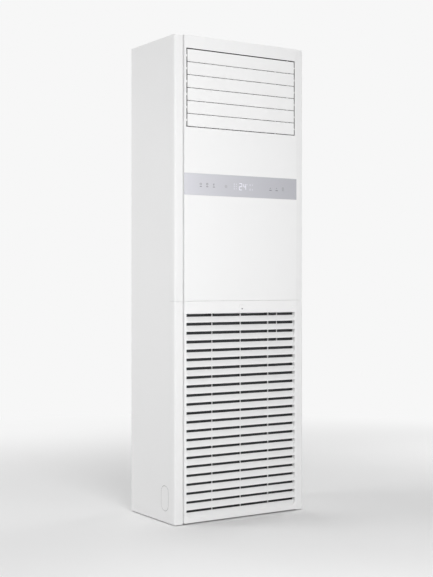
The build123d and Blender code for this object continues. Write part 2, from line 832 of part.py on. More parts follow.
lower_tray = front_tray(grille_low, lower_top, grille_rim, grille_plate)
with BuildPart() as intake_grille:
    add(lower_tray.part)
    # Bays with rounded lower corners
    with BuildSketch(front_plane(grille_back)):
        with Locations([(0, top) for top in bay_tops]):
            bays = Rectangle(2 * outlet_half, bay_height, align=(Align.CENTER, Align.MAX))
        lower_corners = [corner for bay in bays.faces() for corner in bay.vertices().group_by(Axis.Y)[0]]
        fillet(lower_corners, bay_corner)
    extrude(amount=grille_plate, mode=Mode.SUBTRACT)
    # Sloping slats, the walls at their ends, and the ribs behind them
    with BuildSketch(Plane.YZ.offset(-end_wall_half)):
        for top in bay_tops:
            slat_outline(top)
    extrude(amount=2 * end_wall_half)
    with BuildSketch(front_plane(grille_back)):
        with Locations([(side * (outlet_half + slat_wall / 2), bay_low) for side in (-1, 1)]):
            Rectangle(slat_wall, bay_tops[0] - bay_low, align=FORWARD)
    extrude(amount=grille_back - front_y - rib_back)
    with BuildSketch(front_plane(front_y + slat_depth)):
        with Locations([(column * rib_spacing, bay_low) for column in (-1, 0, 1)]):
            Rectangle(rib_wall, bay_tops[0] - bay_low, align=FORWARD)
        with Locations((outlet_half - stay_end_room, stay_low)):
            Rectangle(rib_wall, bay_tops[0] - stay_low, align=FORWARD)
    extrude(amount=slat_depth - rib_back)
    # Channels and a sill for the filter
    with BuildSketch(front_plane(filter_back + slip)):
        with Locations([(side * channel_x, filter_low) for side in (-1, 1)]):
            Rectangle(filter_lip, filter_high - filter_low, align=FORWARD)
    extrude(amount=-grille_plate)
    with BuildSketch(front_plane(filter_front - slip)):
        with Locations((0, filter_low - grille_plate)):
            Rectangle(2 * (panel_half - grille_plate), grille_plate, align=FORWARD)
    extrude(amount=filter_front - filter_back - 2 * slip - grille_plate)
    # Hinge bosses and pins
    for side in (-1, 1):
        with BuildSketch(Plane.YZ.offset(side * (panel_half - grille_plate))):
            with Locations((hinge_y, hinge_z)):
                Circle(hinge_boss)
        extrude(amount=-side * hinge_boss)
        with BuildSketch(Plane.YZ.offset(side * (panel_half - grille_plate))):
            with Locations((hinge_y, hinge_z)):
                Circle(hinge_radius)
        extrude(amount=side * (post_inner + post_wall + grille_plate - panel_half))
    # Finger recess, and the latch's opening in its guide
    with BuildSketch(front_plane(grille_back)):
        with Locations((0, latch_z)):
            Rectangle(2 * guide_half, latch_height + 2 * latch_gap + 2 * slat_wall)
    extrude(amount=-latch_reach / 2)
    with BuildSketch(front_plane(front_y)):
        with Locations((0, finger_z)):
            SlotOverall(2 * (outlet_half - finger_end_room), finger_high - finger_low)
    extrude(amount=-finger_depth, mode=Mode.SUBTRACT)
    with BuildSketch(front_plane(front_y)):
        with Locations((0, latch_z)):
            Rectangle(latch_width + 2 * latch_gap, latch_height + 2 * latch_gap)
    extrude(amount=-grille_rim, mode=Mode.SUBTRACT)
keep(intake_grille, "intake_grille")

with BuildPart() as grille_latch:
    with BuildSketch(front_plane(front_y)):
        with Locations((0, latch_z)):
            Rectangle(latch_width, latch_height)
    extrude(amount=-latch_face)
    with BuildSketch(front_plane(front_y)):
        with Locations((0, latch_z)):
            Rectangle(latch_stem, latch_stem)
    extrude(amount=-latch_reach)
    with BuildSketch(front_plane(front_y)):
        with Locations((0, latch_z - latch_mark / 4)):
            Triangle(a=latch_mark, b=latch_mark_side, c=latch_mark_side, rotation=180)
    extrude(amount=-latch_mark_depth, mode=Mode.SUBTRACT)
keep(grille_latch, "grille_latch")


# ---------------------------------------------------------------- air filter
filter_height = filter_high - filter_low
filter_z = (filter_low + filter_high) / 2
mesh_front = filter_front + filter_thickness / 2
inner_width = filter_width - 2 * filter_border
inner_height = filter_height - 2 * filter_border
cell_width = (inner_width - (filter_columns - 1) * filter_bar) / filter_columns
cell_height = (inner_height - (filter_rows - 1) * filter_bar) / filter_rows

with BuildPart() as filter_frame:
    with BuildSketch(front_plane(filter_front)):
        with Locations((0, filter_z)):
            Rectangle(filter_width, filter_height)
    extrude(amount=-filter_thickness)
    with BuildSketch(front_plane(filter_front)):
        with Locations((0, filter_z)):
            with GridLocations(
                cell_width + filter_bar, cell_height + filter_bar, filter_columns, filter_rows
            ):
                Rectangle(cell_width, cell_height)
    extrude(amount=-filter_thickness, mode=Mode.SUBTRACT)
    with BuildSketch(front_plane(mesh_front)):
        with Locations((0, filter_z)):
            Rectangle(inner_width, inner_height)
    extrude(amount=-filter_thickness, mode=Mode.SUBTRACT)
    with BuildSketch(front_plane(filter_front)):
        with Locations([(side * rib_spacing, filter_high) for side in (-1, 1)]):
            Rectangle(2 * filter_border, filter_border, align=FORWARD)
    extrude(amount=-filter_thickness)
keep(filter_frame, "filter_frame")

with BuildPart() as filter_mesh:
    with BuildSketch(front_plane(mesh_front)):
        with Locations((0, filter_z)):
            Rectangle(inner_width, inner_height)
    extrude(amount=-filter_mesh_wall)
keep(filter_mesh, "filter_mesh")


# ---------------------------------------------------------------- cross beam, latch keeper, inner plate
coil_half = coil_thickness / 2 + end_plate_lip
coil_room = pan_back_y - coil_back_gap - coil_foot_y
coil_tilt = asin(coil_room / hypot(coil_length, coil_half)) - atan2(coil_half, coil_length)
foot_sine = sin(coil_tilt)
foot_cosine = cos(coil_tilt)
pan_floor = coil_foot_z - coil_half * foot_sine  # the coil's end plates stand on it
pan_low = pan_floor - pan_wall
beam_y = front_y + beam_front
post_hollow_half = half_width - post_wall

with BuildPart() as cross_beam:
    with BuildSketch(front_plane(beam_y)):
        with Locations((0, deck_z - plate)):
            Rectangle(2 * post_hollow_half, pan_low - deck_z + plate, align=FORWARD)
    extrude(amount=-plate)
    with BuildSketch(Plane.XY.offset(deck_z - plate)):
        with Locations((0, beam_y)):
            Rectangle(2 * flange_half, beam_floor, align=FORWARD)
    extrude(amount=plate)
    with BuildSketch(Plane.XY.offset(pan_low - plate)):
        with Locations((0, beam_y)):
            Rectangle(2 * flange_half, beam_shelf, align=FORWARD)
    extrude(amount=plate)
keep(cross_beam, "cross_beam")

with BuildPart() as latch_keeper:
    with BuildSketch(front_plane(beam_y)):
        with Locations((0, latch_z)):
            Rectangle(keeper_width, keeper_height)
    extrude(amount=keeper_depth)
    with BuildSketch(front_plane(beam_y - panel_wall)):
        with Locations((0, latch_z)):
            Rectangle(latch_stem + 2 * latch_gap, latch_stem + 2 * latch_gap)
    extrude(amount=keeper_depth, mode=Mode.SUBTRACT)
keep(latch_keeper, "latch_keeper")

inner_plate_y = side_front_y + sheet
with BuildPart() as inner_front_plate:
    with BuildSketch(front_plane(inner_plate_y)):
        with Locations((0, pan_low)):
            Rectangle(2 * inner_half, duct_low - duct_wall - pan_low, align=FORWARD)
        with Locations((0, duct_low - duct_wall)):
            Rectangle(2 * swing_motor_length, 2 * swing_motor_length, mode=Mode.SUBTRACT)
    extrude(amount=-plate)
keep(inner_front_plate, "inner_front_plate")


# ---------------------------------------------------------------- blower
casing_front = front_y + scroll_front
casing_back = casing_front + scroll_depth
wheel_front = casing_front + plate + wheel_front_gap
wheel_back = wheel_front + wheel_width
tongue_reach = wheel_radius + tongue_gap
tongue_x = tongue_reach * cos(radians(tongue_angle))
outlet_left = casing_side_room - half_width
scroll_growth = -outlet_left - tongue_reach
casing_x = (outlet_left + tongue_x) / 2
casing_y = (casing_front + casing_back) / 2


def scroll_outline(grow=0.0):
    """The casing's outline seen from the front, its walls moved out by grow, in the sketch being drawn."""
    start = degrees(acos((tongue_x + grow) / (tongue_reach + grow)))

    def spiral(turn):
        angle = radians(start - turn * (start + 180))
        reach = tongue_reach + grow + turn * scroll_growth
        return (reach * cos(angle), fan_z + reach * sin(angle))

    with BuildLine() as outline:
        for arc in range(scroll_arcs):
            ThreePointArc(*[spiral((arc + part) / scroll_arcs) for part in (0, 0.5, 1)])
        Polyline(spiral(1), (outlet_left - grow, deck_z), (tongue_x + grow, deck_z), spiral(0))
    make_face(outline.edges())


with BuildPart() as scroll_casing:
    with BuildSketch(front_plane(casing_front)):
        scroll_outline(plate)
    extrude(amount=-scroll_depth)
    with BuildSketch(front_plane(casing_front + plate)):
        scroll_outline()
    extrude(amount=2 * plate - scroll_depth, mode=Mode.SUBTRACT)
    with BuildSketch(front_plane(casing_front)):
        with Locations((0, fan_z)):
            Circle(throat_radius + bell_round + slip)
    extrude(amount=-plate, mode=Mode.SUBTRACT)
    with BuildSketch(front_plane(casing_back)):
        with Locations((0, fan_z)):
            Circle(motor_radius / 2)
    extrude(amount=plate, mode=Mode.SUBTRACT)
    with BuildSketch(Plane.XY.offset(deck_z)):
        with Locations((casing_x, casing_y)):
            Rectangle(
                tongue_x - outlet_left + 2 * plate + 2 * casing_flange,
                scroll_depth + 2 * casing_flange,
            )
            Rectangle(tongue_x - outlet_left, scroll_depth - 2 * plate, mode=Mode.SUBTRACT)
    extrude(amount=-plate)
keep(scroll_casing, "scroll_casing")

blower_axis = Axis((0, 0, fan_z), (0, 1, 0))
bell_front = casing_front - bell_wall
bell_outer = throat_radius + bell_round
with BuildPart() as bell_mouth:
    with BuildSketch(Plane.YZ):
        with BuildLine():
            Line((bell_front, fan_z + bell_outer + bell_flange), (bell_front, fan_z + bell_outer))
            ThreePointArc(
                (bell_front, fan_z + bell_outer),
                (
                    bell_front + bell_round * (1 - cos(radians(45))),
                    fan_z + bell_outer - bell_round * sin(radians(45)),
                ),
                (bell_front + bell_round, fan_z + throat_radius),
            )
            Polyline(
                (bell_front + bell_round, fan_z + throat_radius),
                (wheel_front + bell_wall, fan_z + throat_radius),
                (wheel_front + bell_wall, fan_z + throat_radius + bell_wall),
                (bell_front + bell_round, fan_z + throat_radius + bell_wall),
            )
            ThreePointArc(
                (bell_front + bell_round, fan_z + throat_radius + bell_wall),
                (
                    bell_front + bell_round - (bell_round - bell_wall) * cos(radians(45)),
                    fan_z + bell_outer - (bell_round - bell_wall) * sin(radians(45)),
                ),
                (casing_front, fan_z + bell_outer),
            )
            Polyline(
                (casing_front, fan_z + bell_outer),
                (casing_front, fan_z + bell_outer + bell_flange),
                (bell_front, fan_z + bell_outer + bell_flange),
            )
        make_face()
    revolve(axis=blower_axis)
keep(bell_mouth, "bell_mouth")


def wheel_blade(lean):
    """The section of one forward-curved wheel blade, in the sketch being drawn."""
    middle = (wheel_inner + wheel_radius) / 2

    def at(radius, angle):
        return (radius * cos(radians(angle)), radius * sin(radians(angle)))

    wall_angle = degrees(wheel_blade_wall / middle)
    with BuildLine() as outline:
        first = ThreePointArc(
            at(wheel_inner, 0),
            at(middle, -wheel_blade_belly * lean),
            at(wheel_radius, -lean),
        )
        second = ThreePointArc(
            at(wheel_inner, wall_angle),
            at(middle, wall_angle - wheel_blade_belly * lean),
            at(wheel_radius, wall_angle - lean),
        )
        Line(first @ 0, second @ 0)
        Line(first @ 1, second @ 1)
    make_face(outline.edges())


with BuildPart() as blower_wheel:
    with BuildSketch(front_plane(wheel_front)):
        with Locations((0, fan_z)):
            Circle(wheel_radius)
            Circle(wheel_radius - wheel_ring, mode=Mode.SUBTRACT)
    extrude(amount=-wheel_plate)
    with BuildSketch(front_plane(wheel_back)):
        with Locations((0, fan_z)):
            Circle(wheel_radius)
    extrude(amount=wheel_plate)
    with BuildSketch(mode=Mode.PRIVATE) as one_blade:
        wheel_blade(wheel_blade_lean)
    with BuildSketch(front_plane(wheel_front + wheel_plate)):
        with Locations((0, fan_z)):
            with PolarLocations(0, wheel_blades):
                add(one_blade.sketch)
    extrude(amount=2 * wheel_plate - wheel_width)
    with BuildSketch(front_plane(wheel_back)):
        with Locations((0, fan_z)):
            Circle(hub_radius)
    extrude(amount=hub_length)
    with BuildSketch(front_plane(wheel_back)):
        with Locations((0, fan_z)):
            Circle(shaft_radius)
    extrude(amount=hub_length, mode=Mode.SUBTRACT)
keep(blower_wheel, "blower_wheel")

motor_front = casing_back + mount_wall
motor_back = motor_front + motor_length
shaft_back = motor_back - motor_round
with BuildPart() as blower_shaft:
    with BuildSketch(front_plane(wheel_back - hub_length - nut_height - joint_gap)):
        with Locations((0, fan_z)):
            Circle(shaft_radius)
    extrude(amount=wheel_back - hub_length - nut_height - joint_gap - shaft_back)
    with BuildSketch(front_plane(wheel_back - hub_length)):
        with Locations((0, fan_z)):
            RegularPolygon(nut_flats / 2, 6, major_radius=False)
    extrude(amount=nut_height)
keep(blower_shaft, "blower_shaft")

with BuildPart() as blower_motor:
    with BuildSketch(front_plane(motor_front)):
        with Locations((0, fan_z)):
            Circle(motor_radius)
    extrude(amount=-motor_length)
    fillet(blower_motor.edges().filter_by(GeomType.CIRCLE).sort_by(Axis.Y)[-1], motor_round)
    with BuildSketch(front_plane(casing_back)):
        with Locations((0, fan_z)):
            Circle(motor_radius + motor_rim)
            with PolarLocations((motor_radius + mount_reach) / 2, mount_arms, start_angle=45):
                Rectangle(motor_radius + mount_reach, mount_arm)
    extrude(amount=-mount_wall)
    with BuildSketch(front_plane(casing_back)):
        with Locations((0, fan_z)):
            Circle(shaft_radius + shaft_clearance)
    extrude(amount=casing_back - shaft_back, mode=Mode.SUBTRACT)
keep(blower_motor, "blower_motor")


# ---------------------------------------------------------------- deck between the blower and the coil
pipe_x = half_width - pipe_inset
bend_pitch = coil_length / (bend_count + 1)
gas_row = gas_bend * bend_pitch
liquid_row = liquid_bend * bend_pitch
liquid_y = coil_foot_y + liquid_row * foot_sine
deck_y = front_y + deck_front
with BuildPart() as deck:
    with BuildSketch(Plane.XY.offset(deck_z)):
        with Locations((0, deck_y)):
            Rectangle(2 * inner_half, pan_back_y - deck_y, align=FORWARD)
        with Locations((casing_x, casing_y)):
            Rectangle(tongue_x - outlet_left, scroll_depth - 2 * plate, mode=Mode.SUBTRACT)
        with Locations((pipe_x, (drain_y + liquid_y) / 2)):
            Rectangle(pipe_slot_width, liquid_y - drain_y + 2 * pipe_slot_room, mode=Mode.SUBTRACT)
    extrude(amount=plate)
keep(deck, "deck")


# ---------------------------------------------------------------- cooling coil, its pan and pipes
coil_foot = Plane((0, coil_foot_y, coil_foot_z), x_dir=(1, 0, 0), z_dir=(0, foot_sine, foot_cosine))
coil_width = cabinet_width - 2 * coil_side_room
coil_end_x = coil_width / 2 + end_plate
groove_pitch = coil_width / (fin_grooves + 1)
with BuildPart() as coil_fins:
    with BuildSketch(coil_foot):
        Rectangle(coil_width, coil_thickness)
        with GridLocations(groove_pitch, coil_thickness, fin_grooves, 2):
            Rectangle(fin_groove, 2 * fin_groove_depth, mode=Mode.SUBTRACT)
    extrude(amount=coil_length)
keep(coil_fins, "coil_fins")


def along_coil(row, across=0.0):
    """Depth and height of a point on the coil, from its distance up the slope and its offset backwards."""
    return (
        coil_foot_y + row * foot_sine + across * foot_cosine,
        coil_foot_z + row * foot_cosine - across * foot_sine,
    )


hanger_y = pan_back_y
hanger_z = along_coil(coil_length)[1] - (hanger_y - along_coil(coil_length)[0]) * foot_sine / foot_cosine
with BuildPart() as coil_end_plates:
    with BuildSketch(coil_foot):
        with GridLocations(coil_width + end_plate, 1, 2, 1):
            Rectangle(end_plate, coil_thickness + 2 * end_plate_lip)
    extrude(amount=coil_length)
    with BuildSketch(Plane.YZ.offset(-coil_end_x)):
        with BuildLine():
            Polyline(
                along_coil(coil_length, -coil_half),
                (hanger_y, hanger_z),
                (hanger_y, hanger_z + pan_height),
                (hanger_y - plate, hanger_z + pan_height),
                (hanger_y - plate, hanger_z + plate + plate * foot_sine),
                along_coil(coil_length + plate, -coil_half),
                close=True,
            )
        make_face()
    extrude(amount=2 * coil_end_x)
keep(coil_end_plates, "coil_end_plates")

with BuildPart() as return_bends:
    for bend in range(bend_count):
        row = (bend + 0.5) * bend_pitch
        bend_plane = Plane(
            (coil_end_x, *along_coil(row)), x_dir=(0, foot_cosine, -foot_sine), z_dir=(1, 0, 0)
        )
        with BuildSketch(bend_plane):
            with Locations((bend_span / 2, 0)):
                RegularPolygon(bend_radius, 8, major_radius=False)
        bend_axis = Axis((coil_end_x, *along_coil(row)), (0, -foot_sine, -foot_cosine))
        revolve(axis=bend_axis, revolution_arc=180)
keep(return_bends, "return_bends")

pan_y_low = coil_foot_y - pan_front_gap
pan_y_high = coil_foot_y + pan_back_gap
with BuildPart() as drain_pan:
    with BuildSketch(Plane.XY.offset(pan_low)):
        with Locations((0, pan_y_low)):
            Rectangle(cabinet_width - 2 * pan_side_room, pan_y_high - pan_y_low, align=FORWARD)
    extrude(amount=pan_height)
    offset(amount=-pan_wall, openings=drain_pan.faces().sort_by(Axis.Z)[-1])
    with BuildSketch(Plane.XY.offset(pan_low)):
        with Locations((pipe_x, drain_y)):
            Circle(drain_radius - pan_wall)
    extrude(amount=pan_wall, mode=Mode.SUBTRACT)
keep(drain_pan, "drain_pan")

with BuildPart() as drain_pipe:
    with BuildSketch(Plane.XY.offset(pan_low)):
        with Locations((pipe_x, drain_y)):
            Circle(drain_radius)
            Circle(drain_radius - pan_wall, mode=Mode.SUBTRACT)
    extrude(amount=drain_low - pan_low)
keep(drain_pipe, "drain_pipe")


def coil_pipe(row, radius):
    """A copper pipe out of the coil's right end, over a bend and down beside the blower."""
    y, z = along_coil(row)
    with BuildLine() as route:
        FilletPolyline((coil_end_x, y, z), (pipe_x, y, z), (pipe_x, y, pipe_low), radius=pipe_bend)
    with BuildSketch(Plane((coil_end_x, y, z), z_dir=(1, 0, 0))) as section:
        Circle(radius)
    sweep(section.sketch, path=route.line)


coil_pipes = ((gas_row, gas_pipe_radius), (liquid_row, liquid_pipe_radius))
with BuildPart() as copper_pipes:
    for row, radius in coil_pipes:
        coil_pipe(row, radius)
keep(copper_pipes, "copper_pipes")

with BuildPart() as flare_nuts:
    for row, radius in coil_pipes:
        with BuildSketch(Plane.XY.offset(pipe_low)):
            with Locations((pipe_x, along_coil(row)[0])):
                RegularPolygon(radius * flare_share, 6, major_radius=False)
                Circle(radius, mode=Mode.SUBTRACT)
        extrude(amount=flare_length)
keep(flare_nuts, "flare_nuts")

clamp_front = along_coil(gas_row)[0] - 2 * gas_pipe_radius
clamp_back = along_coil(liquid_row)[0] + 2 * gas_pipe_radius
with BuildPart() as pipe_clamp:
    with BuildSketch(Plane.XY.offset(clamp_z)):
        with Locations((inner_half, clamp_front)):
            Rectangle(
                pipe_inset + gas_pipe_radius,
                clamp_back - clamp_front,
                align=(Align.MAX, Align.MIN),
            )
        for row, radius in coil_pipes:
            with Locations((pipe_x, along_coil(row)[0])):
                Circle(radius, mode=Mode.SUBTRACT)
    extrude(amount=clamp_height)
keep(pipe_clamp, "pipe_clamp")


# ---------------------------------------------------------------- electrics
box_back = inner_plate_y
box_front = box_back - box_depth
box_z = (pan_low + display_low) / 2
box_height = display_low - pan_low - 2 * box_end_room
main_board_height = main_board_share * box_height
main_board_x = -main_board_width / 4
board_back = box_back - plate
with BuildPart() as control_box:
    with BuildSketch(front_plane(box_front)):
        with Locations((0, box_z)):
            Rectangle(box_width, box_height)
    extrude(amount=-box_depth)
    offset(amount=-plate, openings=control_box.faces().sort_by(Axis.Y)[0])
    with BuildSketch(front_plane(board_back)):
        with Locations((main_board_x, box_z)):
            with GridLocations(main_board_width - 4 * standoff, main_board_height - 4 * standoff, 2, 2):
                Circle(standoff / 2)
    extrude(amount=standoff)
keep(control_box, "control_box")

with BuildPart() as control_cover:
    with BuildSketch(front_plane(box_front)):
        with Locations((0, box_z)):
            Rectangle(box_width, box_height)
    extrude(amount=plate)
keep(control_cover, "control_cover")

board_y = board_back - standoff
with BuildPart() as main_board:
    with BuildSketch(front_plane(board_y)):
        with Locations((main_board_x, box_z)):
            Rectangle(main_board_width, main_board_height)
    extrude(amount=board)
    with BuildSketch(front_plane(board_y - board)):
        with Locations((-main_board_width / 2, box_z)):
            Circle(capacitor_radius)
    extrude(amount=capacitor_length)
    with BuildSketch(front_plane(board_y - board)):
        with Locations((main_board_x + transformer_size, box_z + main_board_height / 4)):
            Rectangle(transformer_size, transformer_size)
    extrude(amount=transformer_height)
keep(main_board, "main_board")

terminal_x = (box_width - terminal_width) / 2 - 3 * standoff
terminal_pitch = terminal_width / terminal_ways
with BuildPart() as terminal_block:
    with BuildSketch(front_plane(board_back)):
        with Locations((terminal_x, box_z)):
            Rectangle(terminal_width, terminal_height)
    extrude(amount=terminal_height / 2)
    with BuildSketch(front_plane(board_back - terminal_height / 2)):
        with Locations((terminal_x, box_z)):
            with GridLocations(terminal_pitch, 1, terminal_ways, 1):
                Rectangle(terminal_pitch - 2 * plate, terminal_height - 4 * plate)
    extrude(amount=-terminal_height / 4, mode=Mode.SUBTRACT)
keep(terminal_block, "terminal_block")
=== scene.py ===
import json
import math

import bmesh
import bpy
from bpy.props import FloatProperty, FloatVectorProperty, PointerProperty
from mathutils import Matrix, Vector


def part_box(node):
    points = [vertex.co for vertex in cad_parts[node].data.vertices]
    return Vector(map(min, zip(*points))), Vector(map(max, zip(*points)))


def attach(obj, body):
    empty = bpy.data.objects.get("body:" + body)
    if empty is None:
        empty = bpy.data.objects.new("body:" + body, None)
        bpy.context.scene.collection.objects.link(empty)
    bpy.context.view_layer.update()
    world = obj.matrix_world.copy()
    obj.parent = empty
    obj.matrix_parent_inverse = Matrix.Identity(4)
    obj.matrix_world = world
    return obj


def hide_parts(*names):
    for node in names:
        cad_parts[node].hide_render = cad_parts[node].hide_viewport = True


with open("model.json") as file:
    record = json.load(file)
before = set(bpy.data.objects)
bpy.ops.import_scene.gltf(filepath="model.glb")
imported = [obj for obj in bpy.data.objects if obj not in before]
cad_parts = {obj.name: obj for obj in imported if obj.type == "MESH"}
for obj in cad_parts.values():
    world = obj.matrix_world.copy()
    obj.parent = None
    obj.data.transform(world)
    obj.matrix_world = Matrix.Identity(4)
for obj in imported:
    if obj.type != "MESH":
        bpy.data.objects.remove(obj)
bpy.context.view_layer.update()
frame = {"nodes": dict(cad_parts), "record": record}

bl_info = {
    "name": "Cabinet Air Conditioner Finish",
    "version": (1, 0, 0),
    "blender": (4, 5, 0),
    "location": "3D View > Sidebar > Cabinet",
    "description": "Finishes, display marks and studio for the floor standing air conditioner",
    "category": "Object",
}

LENS_LOW, LENS_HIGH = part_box("display_lens")
LATCH_LOW, LATCH_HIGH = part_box("grille_latch")
COVERS_LOW, COVERS_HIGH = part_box("knockout_covers")
STRIP_MIDDLE = (LENS_LOW.z + LENS_HIGH.z) / 2

# All lengths are in metres. First come sizes that the CAD has: the pipe holes with their round ends, the gap
# round the cover in a hole, its lip behind the hole's edge, and the rear hole's middle from the left side.
HOLE_WIDTH = 0.056
HOLE_HEIGHT = 0.097
COVER_GAP = 0.0012
COVER_LIP = 0.0025
REAR_HOLE_IN = 0.075
# The CAD grille's three upright ribs and its short stay, which are as thick as each other.
CAD_RIB = 0.003
RIB_PITCH = 0.131
STAY_MIDDLE = 0.174

# How far a corner may be from where it is looked for, and how near to each other two corners are one.
RIB_SLACK = 0.00001
SAME_POINT = 0.000001

# The gap shadow's room on both sides of it, how far its face lies behind the cover's, and its outline's
# corners. The gap shadow is a painted shadow, a dark ring in the gap round each pressed-in cover.
SHADOW_ROOM = 0.00005
SHADOW_SUNK = 0.00015
SHADOW_CORNERS = 48

# The digits' places along the strip and below its middle, the second one's shares of the first one's width
# and height, a segment's gap and cut corner as shares of its stroke, and the strength of the light.
FIRST_DIGIT_X = -0.008
SECOND_DIGIT_X = 0.0115
DIGITS_DOWN = 0.001
SECOND_WIDTH = 0.8
SECOND_HEIGHT = 0.92
SEGMENT_GAP = 0.15
SEGMENT_CORNER = 0.4
DIGIT_GLOW = 0.78
SIGN_GLOW = 0.52

# The signs beside the digits: their rows, up from the digits' middle, and the x, width and height of each
# column. Their cut corners are a share of their stroke. A small ring stands above and right of the digits.
LEFT_ROWS = (-0.0088, 0.0, 0.0088)
LEFT_SIGNS = ((-0.0375, 0.0032, 0.0064), (-0.0275, 0.0040, 0.0036))
RIGHT_ROWS = (-0.0095, 0.0085)
RIGHT_SIGNS = ((0.0365, 0.0036, 0.0080), (0.0475, 0.0022, 0.0070))
SIGN_CORNER = 0.5
RING_X = 0.0225
RING_UP = 0.0095
RING_RADIUS = 0.0019

# The touch keys' row above the strip's middle, the receiver's window along the strip and below that row, and
# the arrow in the latch's pressed mark, which lies behind the latch's face and below its middle.
KEYS_UP = 0.002
RECEIVER_X = -0.0754
RECEIVER_DOWN = 0.0051
ARROW_WIDTH = 0.0096
ARROW_HEIGHT = 0.0059
ARROW_SUNK = 0.0004
ARROW_DOWN = 0.0025

# How finely curves are drawn: steps of a whole ring, the fewest of a part of one, and the receiver's corners.
RING_STEPS = 24
LEAST_STEPS = 6
RECEIVER_CORNERS = 40


# ---------------------------------------------------------------- values a user may change
def colour(name, description, default):
    """A colour setting in the scene's linear colours."""
    return FloatVectorProperty(
        name=name, description=description, default=default, size=3, subtype="COLOR", min=0.0, max=1.0
    )


def length(name, description, default):
    """A length setting in metres."""
    return FloatProperty(
        name=name,
        description=description,
        default=default,
        min=0.0,
        soft_max=1.0,
        subtype="DISTANCE",
        unit="LENGTH",
    )


def power(name, description, default):
    """A lamp's power in watts."""
    return FloatProperty(name=name, description=description, default=default, unit="POWER")


class CabinetColours(bpy.types.PropertyGroup):
    """Colours of the cabinet's finishes."""

    paint: colour("Paint", "Powder coat of the side, rear and top covers", (0.86, 0.86, 0.86))
    moulding: colour("Moulding", "Front panel, blades, grille and latch", (0.89, 0.89, 0.89))
    posts: colour("Posts", "White of the corner posts, a shade deeper than the panels", (0.86, 0.86, 0.86))
    lens: colour("Display strip", "Smoked grey strip, at its right end", (0.485, 0.487, 0.525))
    # The strip's pale left end is a painted reflection on the strip, not its own colour.
    lens_painted_reflection: colour("Pale end", "The strip's pale left end", (0.7, 0.7, 0.745))
    print_ink: colour("Key print", "Printed touch key marks", (0.12, 0.12, 0.14))
    receiver: colour("Receiver", "Window of the remote control's receiver", (0.44, 0.44, 0.47))
    arrow: colour("Latch arrow", "Small grey arrow on the latch", (0.2, 0.2, 0.21))
    # This near-black colour paints the shadow in the gap round each pressed-in cover.
    gap_shadow: colour("Shadow", "Dark seal round the pressed-in covers", (0.03, 0.03, 0.032))
    lit: colour("Digits", "Lit digits and signs", (0.92, 0.91, 1.0))
    zinc: colour("Galvanised sheet", "Spangled inner sheet", (0.6, 0.62, 0.64))
    black: colour("Black moulding", "Duct, vanes and frames", (0.016, 0.016, 0.018))
    # The net's near-black tint is partly the net's colour and partly painted shade for the inside of the
    # grille's slots.
    net: colour("Filter net", "Woven filter threads", (0.03, 0.033, 0.036))
    enamel: colour("Motor enamel", "Dark enamel of the motors", (0.055, 0.058, 0.065))
    grey: colour("Grey moulding", "Drain pan and drain pipe", (0.52, 0.53, 0.54))
    board: colour("Circuit board", "Green of the circuit boards", (0.02, 0.1, 0.035))
    screws: colour("Screws", "Zinc plate of the screws and the blower's shaft", (0.62, 0.62, 0.63))
    wheel: colour("Blower wheel", "Pressed metal of the blower wheel", (0.66, 0.67, 0.69))
    fins: colour("Fins", "Aluminium fins of the coil", (0.78, 0.8, 0.82))
    copper: colour("Copper", "Refrigerant pipes", (0.72, 0.3, 0.16))
    brass: colour("Brass", "Flare nuts", (0.75, 0.53, 0.2))


class CabinetSizes(bpy.types.PropertyGroup):
    """Sizes of the prints, the seals and the grille's ribs, and the lamps' powers."""

    digit_height: length("Digit height", "Height of the two digits", 0.027)
    digit_width: length("Digit width", "Width of one digit", 0.0145)
    digit_stroke: length("Digit stroke", "Width of a segment", 0.0023)
    mark_height: length("Mark height", "Height of a touch key's sign", 0.0078)
    mark_stroke: length("Mark stroke", "Line width of a sign", 0.0012)
    ink_thickness: length("Ink thickness", "How far prints stand on the strip", 0.00002)
    receiver: length("Receiver", "Diameter of the remote control's receiver window", 0.0125)
    rib: length("Rib", "Thickness of the upright ribs behind the grille's slots", 0.0013)
    stay: length("Stay", "Thickness of the short stay behind the grille's top slots", 0.0007)
    # Thickness of the dark ring that paints the shadow in a cover's gap.
    gap_shadow_depth: length("Seal depth", "Thickness of the dark seal round a pressed-in cover", 0.0006)
    key_light: power("Key lamp", "Power of the large front lamp", 40.0)
    side_light: power("Side lamp", "Power of the lamp at the left", 22.0)
    fill_light: power("Fill lamp", "Power of the lamp at the right", 16.0)
    rear_light: power("Rear lamp", "Power of the lamp behind", 24.0)
    top_light: power("Top lamp", "Power of the lamp above", 9.0)
    sky: FloatProperty(name="Sky", description="Strength of the even light all round", default=0.29, min=0.0)


# ---------------------------------------------------------------- shader maths
class Wire:
    """One value in a material. Arithmetic on it adds Math nodes."""

    def __init__(self, shade, socket):
        self.shade = shade
        self.socket = socket

    def math(self, operation, *values):
        return self.shade.maths(operation, self, *values)

    def __add__(self, other):
        return self.math("ADD", other)

    def __sub__(self, other):
        return self.math("SUBTRACT", other)

    def __mul__(self, other):
        return self.math("MULTIPLY", other)

    def __rsub__(self, other):
        return self.shade.maths("SUBTRACT", other, self)

    __radd__ = __add__
    __rmul__ = __mul__


